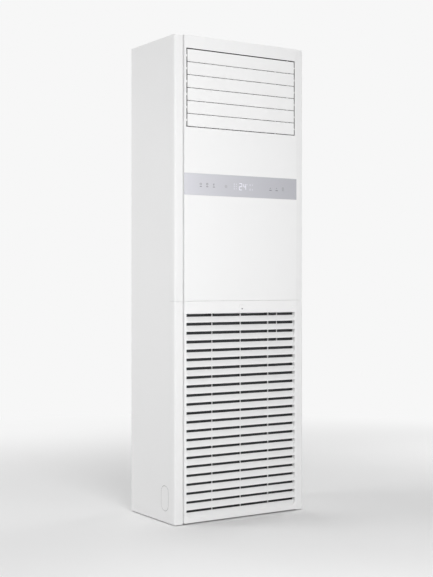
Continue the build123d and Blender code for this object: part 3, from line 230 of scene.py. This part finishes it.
class Nodes:
    """The node tree of a material or of the world, emptied."""

    def __init__(self, owner):
        owner.use_nodes = True
        self.tree = owner.node_tree
        self.tree.nodes.clear()

    def node(self, kind, settings=None, sockets=None, out=0):
        """Adds a node: its settings first, then values or links of its sockets."""
        made = self.tree.nodes.new(kind)
        for key, value in (settings or {}).items():
            setattr(made, key, value)
        for key, value in (sockets or {}).items():
            if isinstance(value, Wire):
                self.tree.links.new(value.socket, made.inputs[key])
            else:
                made.inputs[key].default_value = value
        return Wire(self, made.outputs[out])

    def maths(self, operation, *values):
        return self.node("ShaderNodeMath", {"operation": operation}, dict(enumerate(values)))

    def end(self, shader, kind="ShaderNodeOutputMaterial"):
        """Leads a shader to the tree's output."""
        output = self.tree.nodes.new(kind)
        self.tree.links.new(shader.socket, output.inputs["Surface"])

    def page_share(self):
        """1 where the camera, a mirror or glass looks straight at it, and 0 for light."""
        path = self.node("ShaderNodeLightPath", out="Is Camera Ray")
        glossy = Wire(self, path.socket.node.outputs["Is Glossy Ray"])
        clear = Wire(self, path.socket.node.outputs["Is Transmission Ray"])
        return path.math("MAXIMUM", glossy).math("MAXIMUM", clear)


class Shade(Nodes):
    """One node material, whose patterns follow Object coordinates."""

    def __init__(self, name):
        self.material = bpy.data.materials.new(name)
        super().__init__(self.material)
        self.place = self.node("ShaderNodeTexCoord", out="Object")

    def noise(self, scale, detail=2.0, stretch=(1.0, 1.0, 1.0)):
        """Even noise, from 0 to 1, with about scale lumps a metre."""
        place = self.node("ShaderNodeMapping", None, {"Vector": self.place, "Scale": stretch})
        return self.node("ShaderNodeTexNoise", None, {"Vector": place, "Scale": scale, "Detail": detail})

    def bands(self, axis, pitch):
        """Soft stripes across an axis, each pitch metres wide. A wave of scale 1 has a pitch of pi / 10."""
        settings = {"wave_type": "BANDS", "bands_direction": axis, "wave_profile": "SIN"}
        sockets = {"Vector": self.place, "Scale": math.pi / (10 * pitch)}
        return self.node("ShaderNodeTexWave", settings, sockets, out="Fac")

    def cells(self, scale):
        """A random number for each cell of a crystal pattern."""
        tint = self.node("ShaderNodeTexVoronoi", None, {"Vector": self.place, "Scale": scale}, out="Color")
        return self.node("ShaderNodeSeparateColor", None, {0: tint})

    def axis(self, name):
        """One coordinate of the place, in metres."""
        return self.node("ShaderNodeSeparateXYZ", None, {0: self.place}, out=name)

    def span(self, value, low, high, settings=None):
        """0 where the value is low or less, 1 where it is high or more, and between them in between."""
        return self.node("ShaderNodeMapRange", settings, {0: value, 1: low, 2: high, 3: 0.0, 4: 1.0})

    def mix(self, share, first, second):
        """A colour from first to second."""
        return self.node("ShaderNodeMix", {"data_type": "RGBA"}, {0: share, 6: first, 7: second}, out=2)

    def tones(self, share, tint, low, high):
        """The tint made darker to low times and lighter to high times itself."""
        return self.mix(share, shaded(tint, low), shaded(tint, high))

    def bump(self, height, distance, strength):
        """A normal from a height pattern whose full height is distance metres."""
        sockets = {"Height": height, "Distance": distance, "Strength": strength}
        return self.node("ShaderNodeBump", None, sockets)

    def close(self, sockets):
        """Ends the material in a Principled shader."""
        shader = self.node("ShaderNodeBsdfPrincipled", None, sockets)
        self.end(shader)
        return self.material


def shaded(tint, factor):
    """A colour times a factor, with its alpha."""
    return (*(min(1.0, part * factor) for part in tint[:3]), 1.0)


# ---------------------------------------------------------------- finishes
def powder_coat(name, tint):
    """A powder coat with its fine orange peel."""
    shade = Shade(name)
    cloud = shade.noise(2.2)
    peel = shade.noise(520.0)
    grain = shade.noise(46.0, detail=3.0)
    return shade.close(
        {
            "Base Color": shade.tones(cloud, tint, low=0.975, high=1.015),
            "Roughness": 0.34 + grain * 0.1,
            "Normal": shade.bump(peel, distance=0.00012, strength=0.35),
            "Specular IOR Level": 0.45,
        }
    )


def moulded_white(name, tint):
    """A white moulding with a fine texture and wiped patches."""
    shade = Shade(name)
    cloud = shade.noise(1.8)
    texture = shade.noise(1500.0, detail=1.0)
    wipe = shade.noise(24.0, detail=3.0, stretch=(1.0, 1.0, 0.3))
    return shade.close(
        {
            "Base Color": shade.tones(cloud, tint, low=0.985, high=1.012),
            "Roughness": 0.42 + wipe * 0.1,
            "Normal": shade.bump(texture, distance=0.00005, strength=0.3),
            "Specular IOR Level": 0.4,
        }
    )


def strip_lens(name, tint, pale):
    """The smoked grey strip, whose fade from pale at the left to its tint at the right is a painted
    reflection.
    """
    shade = Shade(name)
    cloud = shade.noise(6.0)
    along = shade.span(shade.axis("X"), LENS_LOW.x, LENS_HIGH.x)
    # The fade along x is a painted reflection; the noise adds a little random tone.
    fade = along.math("POWER", 0.62) + cloud * 0.06
    return shade.close(
        {
            "Base Color": shade.mix(fade, shaded(pale, 1.0), shaded(tint, 1.0)),
            "Roughness": 0.12 + cloud * 0.06,
            "Normal": shade.bump(shade.noise(60.0, detail=1.0), distance=0.00003, strength=0.2),
            "Coat Weight": 0.4,
            "Coat Roughness": 0.05,
        }
    )


def galvanised(name, tint):
    """Zinc coated sheet with its spangle."""
    shade = Shade(name)
    spangle = shade.cells(75.0)
    stain = shade.noise(14.0, detail=3.0)
    return shade.close(
        {
            "Base Color": shade.tones(spangle * 0.6 + stain * 0.4, tint, low=0.75, high=1.2),
            "Metallic": 0.85,
            "Roughness": 0.35 + spangle * 0.2,
            "Normal": shade.bump(spangle, distance=0.00005, strength=0.3),
        }
    )


def plated(name, tint, rough):
    """A plated or drawn metal with a brushed grain."""
    shade = Shade(name)
    brushed = shade.noise(900.0, stretch=(0.15, 1.0, 1.0))
    patch = shade.noise(60.0, detail=3.0)
    return shade.close(
        {
            "Base Color": shade.tones(patch, tint, low=0.85, high=1.1),
            "Metallic": 1.0,
            "Roughness": rough + brushed * 0.15,
            "Normal": shade.bump(brushed, distance=0.00004, strength=0.3),
        }
    )


def matt_moulding(name, tint, rough=0.5):
    """A matt moulding or enamel with a little dust."""
    shade = Shade(name)
    dust = shade.noise(9.0, detail=4.0)
    grain = shade.noise(1100.0)
    return shade.close(
        {
            "Base Color": shade.tones(dust, tint, low=0.8, high=1.3),
            "Roughness": rough + dust * 0.15,
            "Normal": shade.bump(grain, distance=0.00008, strength=0.4),
        }
    )


def woven_net(name, tint):
    """A net of threads across and upright, with painted shade in the gaps between the threads."""
    shade = Shade(name)
    pitch = 0.0016
    thread = shade.bands("X", pitch).math("MAXIMUM", shade.bands("Z", pitch))
    return shade.close(
        {
            # The gaps' dark quarter of the tint is painted shade.
            "Base Color": shade.tones(thread, tint, low=0.25, high=1.4),
            "Roughness": 0.75 - thread * 0.2,
            "Normal": shade.bump(thread, distance=0.0004, strength=0.8),
        }
    )


def fin_pack(name, tint):
    """Fins edge on, with painted shade in the dark gaps between them."""
    shade = Shade(name)
    fin = shade.bands("X", pitch=0.0018)
    haze = shade.noise(20.0, detail=3.0)
    return shade.close(
        {
            # The stripes' dark low end is painted shade between the fins.
            "Base Color": shade.tones(fin, tint, low=0.2, high=1.05),
            "Metallic": 0.9,
            "Roughness": 0.3 + haze * 0.2,
            "Normal": shade.bump(fin, distance=0.0006, strength=0.7),
        }
    )


def copper_tube(name, tint):
    """A drawn copper tube with stains."""
    shade = Shade(name)
    stain = shade.noise(38.0, detail=4.0)
    drawn = shade.noise(400.0, stretch=(1.0, 1.0, 0.1))
    return shade.close(
        {
            "Base Color": shade.tones(stain, tint, low=0.6, high=1.15),
            "Metallic": 1.0,
            "Roughness": 0.2 + stain * 0.25,
            "Normal": shade.bump(drawn, distance=0.00004, strength=0.3),
        }
    )


def circuit_board(name, tint):
    """A board with its tracks."""
    shade = Shade(name)
    upright = {"Vector": shade.place, "Rotation": (math.pi / 2, 0.0, 0.0)}
    place = shade.node("ShaderNodeMapping", None, upright)
    bricks = {"Vector": place, "Scale": 60.0, "Mortar Size": 0.04}
    tracks = shade.node("ShaderNodeTexBrick", {"offset": 0.4}, bricks, out="Fac")
    return shade.close(
        {
            "Base Color": shade.tones(tracks, tint, low=0.7, high=1.8),
            "Roughness": 0.35 + tracks * 0.2,
            "Normal": shade.bump(tracks, distance=0.0001, strength=0.5),
        }
    )


def lit_sign(name, tint, strength):
    """A sign that is lit from behind."""
    shade = Shade(name)
    glow = shade.noise(300.0, detail=1.0)
    return shade.close(
        {
            "Base Color": shade.tones(glow, tint, low=0.2, high=0.25),
            "Emission Color": shade.tones(glow, tint, low=0.94, high=1.0),
            "Emission Strength": strength,
            "Roughness": 0.4 + glow * 0.1,
        }
    )


def ink(name, tint):
    """A print with a little speckle."""
    shade = Shade(name)
    speck = shade.noise(2400.0)
    return shade.close(
        {
            "Base Color": shade.tones(speck, tint, low=0.85, high=1.15),
            "Roughness": 0.45 + speck * 0.15,
        }
    )


def cabinet_finishes(tints):
    """Each of the record's material slots with its finish."""
    return {
        "painted_steel": powder_coat("powder_coat", tints.paint),
        "white_plastic": moulded_white("moulded_white", tints.moulding),
        "grey_lens": strip_lens("smoked_strip", tints.lens, tints.lens_painted_reflection),
        "galvanised": galvanised("galvanised_sheet", tints.zinc),
        "screw_steel": plated("zinc_plate", tints.screws, rough=0.25),
        "black_plastic": matt_moulding("black_moulding", tints.black),
        "filter_net": woven_net("filter_weave", tints.net),
        "motor_steel": matt_moulding("motor_enamel", tints.enamel, rough=0.35),
        "wheel_metal": plated("pressed_wheel", tints.wheel, rough=0.3),
        "aluminium_fins": fin_pack("aluminium_fins", tints.fins),
        "copper": copper_tube("copper_tube", tints.copper),
        "brass_nuts": plated("turned_brass", tints.brass, rough=0.2),
        "grey_plastic": matt_moulding("grey_moulding", tints.grey, rough=0.4),
        "board_green": circuit_board("circuit_board", tints.board),
    }


# ---------------------------------------------------------------- making pieces
# Stands up what lies flat, so that what looked up looks out of the front.
FACE_FRONT = Matrix.Rotation(math.pi / 2, 4, "X")


def new_piece(name, work, finish, body):
    """A finished mesh piece from a bmesh, riding on a body if it has one."""
    mesh = bpy.data.meshes.new(name)
    work.to_mesh(mesh)
    work.free()
    piece = bpy.data.objects.new(name, mesh)
    bpy.context.scene.collection.objects.link(piece)
    mesh.materials.append(finish)
    if body:
        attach(piece, body)
    return piece


def once_each(things):
    """The things in their order, each of them once."""
    return list(dict.fromkeys(things))


def bar(work, x, z, width, height, face, depth, corner=0.0):
    """A flat bar on a front face, in the bmesh, with its corners cut where a corner is given."""
    place = Matrix.Translation((x, face - depth / 2, z)) @ Matrix.Diagonal((width, depth, height, 1.0))
    made = bmesh.ops.create_cube(work, size=1.0, matrix=place)
    if corner:
        edges = once_each(e for v in made["verts"] for e in v.link_edges)
        cut = [e for e in edges if abs(e.verts[0].co.y - e.verts[1].co.y) > depth / 2]
        bmesh.ops.bevel(
            work,
            geom=cut,
            offset=corner,
            offset_type="OFFSET",
            segments=1,
            profile=0.5,
            affect="EDGES",
            material=-1,
            clamp_overlap=True,
        )


def arc(work, x, z, radius, stroke, face, depth, start, sweep):
    """Part of a flat ring on a front face, closed at both ends, in the bmesh."""
    middle = Vector((x, face - depth / 2, z))
    turn = Matrix.Rotation(-start, 4, "Y")
    section = Matrix.Translation((radius, 0, 0)) @ Matrix.Diagonal((stroke, depth, 1, 1))
    place = Matrix.Translation(middle) @ turn @ section
    made = bmesh.ops.create_grid(work, x_segments=1, y_segments=1, size=0.5, matrix=place)
    faces = once_each(f for v in made["verts"] for f in v.link_faces)
    edges = once_each(e for v in made["verts"] for e in v.link_edges)
    geom = [*made["verts"], *edges, *faces]
    steps = max(LEAST_STEPS, round(RING_STEPS * abs(sweep) / math.tau))
    bmesh.ops.spin(work, geom=geom, cent=middle, axis=(0, -1, 0), angle=sweep, steps=steps)


def hollow(work, made, wall, depth):
    """Makes a capped flat outline into a ring that reaches down by a depth, and gives its vertices."""
    cap = once_each(f for v in made["verts"] for f in v.link_faces)
    ring = bmesh.ops.inset_region(work, faces=cap, thickness=wall, use_boundary=True, use_even_offset=True)
    bmesh.ops.delete(work, geom=cap, context="FACES")
    grown = bmesh.ops.extrude_face_region(work, geom=ring["faces"])
    new = [v for v in grown["geom"] if isinstance(v, bmesh.types.BMVert)]
    bmesh.ops.translate(work, vec=(0.0, 0.0, -depth), verts=new)
    front = [v for f in ring["faces"] for v in f.verts]
    return once_each([*front, *new])


def hoop(work, x, z, radius, stroke, face, depth):
    """A whole flat ring on a front face, in the bmesh."""
    made = bmesh.ops.create_circle(work, cap_ends=True, segments=RING_STEPS, radius=radius + stroke / 2)
    verts = hollow(work, made, stroke, depth)
    place = Matrix.Translation((x, face - depth, z)) @ FACE_FRONT
    bmesh.ops.transform(work, matrix=place, verts=verts)


def thicken(work, way):
    """Extrudes every face of the bmesh along a vector."""
    grown = bmesh.ops.extrude_face_region(work, geom=work.faces[:])
    new = [v for v in grown["geom"] if isinstance(v, bmesh.types.BMVert)]
    bmesh.ops.translate(work, vec=way, verts=new)


def tidy(work):
    """Merges doubles and turns every face outwards."""
    bmesh.ops.remove_doubles(work, verts=work.verts, dist=SAME_POINT)
    bmesh.ops.recalc_face_normals(work, faces=work.faces)


# Which of the seven segments each digit lights, by their usual letters.
SEGMENTS = {"2": "abged", "4": "fgbc"}


def digit(work, sign, x, z, size, face):
    """A seven segment digit, in the bmesh."""
    width, height, stroke, depth = size
    half_wide, half_tall = (width - stroke) / 2, (height - stroke) / 2
    gap = stroke * SEGMENT_GAP
    level, upright = width - stroke - gap, half_tall - gap
    # Each segment's place from the digit's middle, its width and its height.
    places = {
        "a": (0, half_tall, level, stroke),
        "g": (0, 0, level, stroke),
        "d": (0, -half_tall, level, stroke),
        "b": (half_wide, half_tall / 2, stroke, upright),
        "c": (half_wide, -half_tall / 2, stroke, upright),
        "f": (-half_wide, half_tall / 2, stroke, upright),
        "e": (-half_wide, -half_tall / 2, stroke, upright),
    }
    for letter in SEGMENTS[sign]:
        dx, dz, bar_width, bar_height = places[letter]
        bar(work, x + dx, z + dz, bar_width, bar_height, face, depth, stroke * SEGMENT_CORNER)


def sign_columns(work, rows, columns, middle, sizes):
    """Small signs in rows and columns beside the digits, in the bmesh."""
    corner = sizes.mark_stroke * SIGN_CORNER
    for row in rows:
        for x, width, height in columns:
            bar(work, x, middle + row, width, height, LENS_LOW.y, sizes.ink_thickness, corner)


# Each touch key's sign stands at the point x, z. Its sizes and places are shares of a sign's height, tall.
def power_sign(work, x, z, tall, stroke, depth):
    """A ring that is open at the top, with a bar in the opening."""
    opening = math.radians(70)
    start = (math.pi + opening) / 2
    arc(work, x, z, tall / 2, stroke, LENS_LOW.y, depth, start, math.tau - opening)
    bar(work, x, z + tall * 0.3, stroke, tall * 0.5, LENS_LOW.y, depth)


def mode_sign(work, x, z, tall, stroke, depth):
    """A ring round a dot."""
    hoop(work, x, z, tall / 2, stroke, LENS_LOW.y, depth)
    bar(work, x, z, tall * 0.35, tall * 0.35, LENS_LOW.y, depth, tall * 0.1)


def fan_sign(work, x, z, tall, stroke, depth):
    """Three curved fan blades round the middle."""
    for blade in range(3):
        start = math.radians(120 * blade)
        x_arc, z_arc = x + math.cos(start) * tall / 4, z + math.sin(start) * tall / 4
        arc(work, x_arc, z_arc, tall / 4, stroke, LENS_LOW.y, depth, start, math.pi)


def steps_sign(work, x, z, tall, depth, side):
    """Three bars that grow shorter upwards where side is 1, or downwards where it is -1."""
    for step in range(3):
        width = tall * (0.75 - 0.25 * step)
        z_bar = z - tall * 0.3 + side * (step - 1) * tall * 0.2
        bar(work, x, z_bar, width, tall * 0.1, LENS_LOW.y, depth)


def up_sign(work, x, z, tall, stroke, depth):
    """Bars that point up."""
    steps_sign(work, x, z, tall, depth, 1)


def down_sign(work, x, z, tall, stroke, depth):
    """Bars that point down."""
    steps_sign(work, x, z, tall, depth, -1)


def swing_sign(work, x, z, tall, stroke, depth):
    """Four level bars under each other."""
    for step in (0.2, -0.3, -0.8, -1.3):
        bar(work, x, z + step * tall, tall * 1.1, stroke * 0.95, LENS_LOW.y, depth)


# The small block under a sign: how far down and how wide, in sign heights, and how thick, in strokes. Its cut
# corner is a share of a stroke.
LEFT_BLOCK = (1.25, 1.2, 1.9)
RIGHT_BLOCK = (1.42, 1.5, 2.1)
BLOCK_CORNER = 0.3

# Each touch key's place along the strip, its sign, and the block under it.
KEYS = (
    (-0.190, power_sign, LEFT_BLOCK),
    (-0.161, mode_sign, LEFT_BLOCK),
    (-0.131, fan_sign, LEFT_BLOCK),
    (0.134, up_sign, RIGHT_BLOCK),
    (0.164, down_sign, RIGHT_BLOCK),
    (0.1945, swing_sign, None),
)


class CABINET_OT_finish(bpy.types.Operator):
    """Give every part of the cabinet its finish"""

    bl_idname = "cabinet.finish"
    bl_label = "Finish the cabinet"

    def execute(self, context):
        tints = context.scene.cabinet_colours
        finishes = cabinet_finishes(tints)
        post_finish = moulded_white("moulded_posts", tints.posts)
        for part in frame["record"]["subparts"]:
            name, slot = part["node"], part["material_slot"]
            node = frame["nodes"][name]
            node.data.materials.clear()
            node.data.materials.append(post_finish if name.endswith("_post") else finishes[slot])
        return {"FINISHED"}


class CABINET_OT_grille(bpy.types.Operator):
    """Replace the intake grille by a copy of it whose upright ribs and short stay are thinner"""

    bl_idname = "cabinet.grille"
    bl_label = "Thin the grille's ribs"

    def execute(self, context):
        sizes = context.scene.cabinet_sizes
        source = frame["nodes"]["intake_grille"].data
        walls = {-RIB_PITCH: sizes.rib, 0.0: sizes.rib, RIB_PITCH: sizes.rib, STAY_MIDDLE: sizes.stay}
        work = bmesh.new()
        work.from_mesh(source)
        bmesh.ops.remove_doubles(work, verts=work.verts, dist=SAME_POINT)
        for middle, wall in walls.items():
            verts = [v for v in work.verts if abs(v.co.x - middle) < CAD_RIB / 2 + RIB_SLACK]
            if not verts:
                raise RuntimeError(f"no rib was found at x = {middle}")
            about = Matrix.Translation((-middle, 0.0, 0.0))
            bmesh.ops.scale(work, vec=(wall / CAD_RIB, 1.0, 1.0), space=about, verts=verts)
        piece = new_piece("grille_moulding", work, source.materials[0], "grille")
        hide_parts("intake_grille")
        return {"FINISHED"}


class CABINET_OT_digits(bpy.types.Operator):
    """Light the display's digits and the small signs beside them"""

    bl_idname = "cabinet.digits"
    bl_label = "Light the display"

    def execute(self, context):
        sizes, tints = context.scene.cabinet_sizes, context.scene.cabinet_colours
        face, depth = LENS_LOW.y, sizes.ink_thickness
        middle = STRIP_MIDDLE - DIGITS_DOWN
        wide, tall, stroke = sizes.digit_width, sizes.digit_height, sizes.digit_stroke
        work = bmesh.new()
        digit(work, "2", FIRST_DIGIT_X, middle, (wide, tall, stroke, depth), face)
        second = (wide * SECOND_WIDTH, tall * SECOND_HEIGHT, stroke, depth)
        digit(work, "4", SECOND_DIGIT_X, middle, second, face)
        tidy(work)
        finish = lit_sign("lit_digits", tints.lit, DIGIT_GLOW)
        new_piece("display_digits", work, finish, "cabinet")

        work = bmesh.new()
        sign_columns(work, LEFT_ROWS, LEFT_SIGNS, middle, sizes)
        hoop(work, RING_X, middle + RING_UP, RING_RADIUS, sizes.mark_stroke, face, depth)
        sign_columns(work, RIGHT_ROWS, RIGHT_SIGNS, middle, sizes)
        tidy(work)
        finish = lit_sign("lit_signs", tints.lit, SIGN_GLOW)
        new_piece("display_signs", work, finish, "cabinet")
        return {"FINISHED"}


class CABINET_OT_keys(bpy.types.Operator):
    """Print the touch keys' marks and the receiver window on the strip"""

    bl_idname = "cabinet.keys"
    bl_label = "Print the keys"

    def execute(self, context):
        sizes, tints = context.scene.cabinet_sizes, context.scene.cabinet_colours
        face = LENS_LOW.y
        row = STRIP_MIDDLE + KEYS_UP
        depth, stroke, tall = sizes.ink_thickness, sizes.mark_stroke, sizes.mark_height
        work = bmesh.new()
        for x, sign, block in KEYS:
            sign(work, x, row, tall, stroke, depth)
            if block:
                down, wide, thick = block
                corner = stroke * BLOCK_CORNER
                bar(work, x, row - tall * down, tall * wide, stroke * thick, face, depth, corner)
        tidy(work)
        new_piece("key_marks", work, ink("key_print", tints.print_ink), "cabinet")

        work = bmesh.new()
        radius = sizes.receiver / 2
        made = bmesh.ops.create_circle(work, cap_ends=True, segments=RECEIVER_CORNERS, radius=radius)
        spot = Matrix.Translation((RECEIVER_X, face, row - RECEIVER_DOWN))
        bmesh.ops.transform(work, matrix=spot @ FACE_FRONT, verts=made["verts"])
        thicken(work, (0.0, -depth, 0.0))
        tidy(work)
        new_piece("receiver_window", work, ink("receiver_lens", tints.receiver), "cabinet")
        return {"FINISHED"}


class CABINET_OT_latch_mark(bpy.types.Operator):
    """Print the small arrow on the grille's latch"""

    bl_idname = "cabinet.latch_mark"
    bl_label = "Mark the latch"

    def execute(self, context):
        tints = context.scene.cabinet_colours
        middle = (LATCH_LOW.z + LATCH_HIGH.z) / 2 - ARROW_DOWN
        work = bmesh.new()
        # A circle of radius 1 with three corners is a triangle, root 3 wide and 1.5 tall.
        made = bmesh.ops.create_circle(work, cap_ends=True, segments=3, radius=1.0)
        shrink = Matrix.Diagonal((ARROW_WIDTH / math.sqrt(3.0), -ARROW_HEIGHT / 1.5, 1.0, 1.0))
        spot = Matrix.Translation((0.0, LATCH_LOW.y + ARROW_SUNK, middle))
        bmesh.ops.transform(work, matrix=spot @ FACE_FRONT @ shrink, verts=made["verts"])
        thicken(work, (0.0, -ARROW_SUNK / 2, 0.0))
        tidy(work)
        new_piece("latch_arrow", work, ink("arrow_print", tints.arrow), "latch")
        return {"FINISHED"}


class CABINET_OT_gap_shadows(bpy.types.Operator):
    """Fill the gap round each pressed-in pipe hole cover with a dark ring that paints the gap's shadow"""

    bl_idname = "cabinet.seals"
    bl_label = "Seal the covers"

    def execute(self, context):
        sizes, tints = context.scene.cabinet_sizes, context.scene.cabinet_colours
        straight = (HOLE_HEIGHT - HOLE_WIDTH) / 2
        radius = HOLE_WIDTH / 2 - SHADOW_ROOM
        wall = COVER_GAP - 2 * SHADOW_ROOM
        sunk = Matrix.Translation((0.0, 0.0, -SHADOW_SUNK))
        middle = (COVERS_LOW.z + COVERS_HIGH.z) / 2
        side_y = COVERS_LOW.y + COVER_LIP + HOLE_WIDTH / 2
        rear_x = COVERS_LOW.x + REAR_HOLE_IN
        spots = (
            ((COVERS_LOW.x, side_y, middle), -math.pi / 2),
            ((COVERS_HIGH.x, side_y, middle), math.pi / 2),
            ((rear_x, COVERS_HIGH.y, middle), math.pi),
        )
        work = bmesh.new()
        for spot, turn in spots:
            made = bmesh.ops.create_circle(work, cap_ends=True, segments=SHADOW_CORNERS, radius=radius)
            # Half a corner's turn leaves no corner on the line where the two halves are drawn apart.
            half_corner = Matrix.Rotation(math.pi / SHADOW_CORNERS, 3, "Z")
            bmesh.ops.rotate(work, matrix=half_corner, verts=made["verts"])
            for vert in made["verts"]:
                vert.co.y += math.copysign(straight, vert.co.y)
            verts = hollow(work, made, wall, sizes.gap_shadow_depth)
            place = Matrix.Translation(spot) @ Matrix.Rotation(turn, 4, "Z") @ FACE_FRONT @ sunk
            bmesh.ops.transform(work, matrix=place, verts=verts)
        tidy(work)
        # A matt near-black ring paints the shadow inside each cover's gap.
        finish = matt_moulding("seal_rubber", tints.gap_shadow, rough=0.6)
        new_piece("knockout_seals", work, finish, "cabinet")
        return {"FINISHED"}


# ---------------------------------------------------------------- studio
# The camera stands where the photograph's perspective puts it.
CAMERA_PLACE = (-2.4848, -3.8689, 0.9213)
CAMERA_TURN = (math.pi / 2, 0.0, math.radians(-32.637))
CAMERA_LENS = 71.41
CAMERA_SENSOR = 36.0
CAMERA_SHIFT = -0.013

# The floor is paper white near the cabinet, and fades into the plain page between two distances from the
# origin. The page is also what the camera sees behind it.
FLOOR_RADIUS = 14.0
FLOOR_CORNERS = 96
FLOOR_DARK = (0.88, 0.88, 0.88, 1.0)
FLOOR_PALE = (0.9, 0.9, 0.9, 1.0)
FADE_START = 0.7
FADE_END = 3.4
PAGE = (0.93, 0.93, 0.93, 1.0)
WHITE = (1.0, 1.0, 1.0, 1.0)

# Each lamp's place, the point that it looks at, and its width and height.
LAMPS = {
    "key": ((-0.85, -2.45, 1.4), (0.0, -0.1, 0.95), (1.2, 2.0)),
    "side": ((-2.3, 1.0, 1.5), (-0.25, 0.05, 1.1), (1.0, 2.0)),
    "fill": ((2.4, 0.5, 1.45), (0.2, 0.0, 0.95), (1.0, 2.0)),
    "rear": ((0.4, 3.0, 1.5), (0.0, 0.1, 0.95), (1.8, 2.2)),
    "top": ((0.0, -0.6, 3.6), (0.0, -0.1, 1.0), (1.6, 1.6)),
}


def lamp(name, place, aim, size, power):
    """An area lamp that looks at a point and isn't seen itself."""
    light = bpy.data.lights.new(name, "AREA")
    light.shape = "RECTANGLE"
    light.size, light.size_y = size
    light.energy = power
    made = bpy.data.objects.new(name, light)
    bpy.context.scene.collection.objects.link(made)
    made.location = place
    made.visible_camera = False
    made.rotation_euler = (Vector(aim) - Vector(place)).to_track_quat("-Z", "Y").to_euler()


def set_floor():
    """The pale floor, a piece of the stage."""
    work = bmesh.new()
    bmesh.ops.create_circle(work, cap_ends=True, segments=FLOOR_CORNERS, radius=FLOOR_RADIUS)
    shade = Shade("studio_floor")
    away = shade.node("ShaderNodeVectorMath", {"operation": "LENGTH"}, {0: shade.place}, out="Value")
    far = shade.span(away, FADE_START, FADE_END, {"interpolation_type": "SMOOTHSTEP"})
    paper = shade.mix(shade.noise(1.5), FLOOR_DARK, FLOOR_PALE)
    matt = shade.node("ShaderNodeBsdfDiffuse", None, {"Color": paper})
    plain = shade.node("ShaderNodeEmission", None, {"Color": PAGE, "Strength": 1.0})
    shade.end(shade.node("ShaderNodeMixShader", None, {0: far * shade.page_share(), 1: matt, 2: plain}))
    new_piece("studio_floor", work, shade.material, None)


def set_sky(scene, strength):
    """Even light from all round, behind which the camera sees the plain page."""
    scene.world = bpy.data.worlds.new("studio_sky")
    sky = Nodes(scene.world)
    even = sky.node("ShaderNodeBackground", None, {"Color": WHITE, "Strength": strength})
    plain = sky.node("ShaderNodeBackground", None, {"Color": PAGE, "Strength": 1.0})
    both = sky.node("ShaderNodeMixShader", None, {0: sky.page_share(), 1: even, 2: plain})
    sky.end(both, "ShaderNodeOutputWorld")


def set_camera(scene):
    """The camera that sees the cabinet as the photograph does."""
    camera = bpy.data.cameras.new("studio_camera")
    camera.lens = CAMERA_LENS
    camera.sensor_width = CAMERA_SENSOR
    camera.shift_y = CAMERA_SHIFT
    held = bpy.data.objects.new("studio_camera", camera)
    scene.collection.objects.link(held)
    held.location = CAMERA_PLACE
    held.rotation_euler = CAMERA_TURN
    scene.camera = held


class CABINET_OT_studio(bpy.types.Operator):
    """Set the pale floor, soft lamps, even sky and the camera"""

    bl_idname = "cabinet.studio"
    bl_label = "Set the studio"

    def execute(self, context):
        sizes = context.scene.cabinet_sizes
        set_floor()
        set_sky(context.scene, sizes.sky)
        for name, (place, aim, size) in LAMPS.items():
            lamp(f"{name}_lamp", place, aim, size, getattr(sizes, f"{name}_light"))
        set_camera(context.scene)
        context.scene.view_settings.view_transform = "Standard"
        return {"FINISHED"}


class CABINET_PT_panel(bpy.types.Panel):
    """Lists the cabinet's steps, sizes and colours"""

    bl_idname = "CABINET_PT_panel"
    bl_label = "Cabinet"
    bl_space_type = "VIEW_3D"
    bl_region_type = "UI"
    bl_category = "Cabinet"

    def draw(self, context):
        for operator in STEPS:
            self.layout.operator(operator.bl_idname)
        for group in (context.scene.cabinet_sizes, context.scene.cabinet_colours):
            for name in group.__annotations__:
                self.layout.prop(group, name)


STEPS = (
    CABINET_OT_finish,
    CABINET_OT_grille,
    CABINET_OT_digits,
    CABINET_OT_keys,
    CABINET_OT_latch_mark,
    CABINET_OT_gap_shadows,
    CABINET_OT_studio,
)
CLASSES = (CabinetColours, CabinetSizes, *STEPS, CABINET_PT_panel)


def register():
    for made in CLASSES:
        bpy.utils.register_class(made)
    bpy.types.Scene.cabinet_colours = PointerProperty(type=CabinetColours)
    bpy.types.Scene.cabinet_sizes = PointerProperty(type=CabinetSizes)


def unregister():
    del bpy.types.Scene.cabinet_sizes
    del bpy.types.Scene.cabinet_colours
    for made in reversed(CLASSES):
        bpy.utils.unregister_class(made)


def main():
    """Runs every step."""
    register()
    bpy.ops.cabinet.finish()
    bpy.ops.cabinet.grille()
    bpy.ops.cabinet.digits()
    bpy.ops.cabinet.keys()
    bpy.ops.cabinet.latch_mark()
    bpy.ops.cabinet.seals()
    bpy.ops.cabinet.studio()


if __name__ == "__main__":
    main()
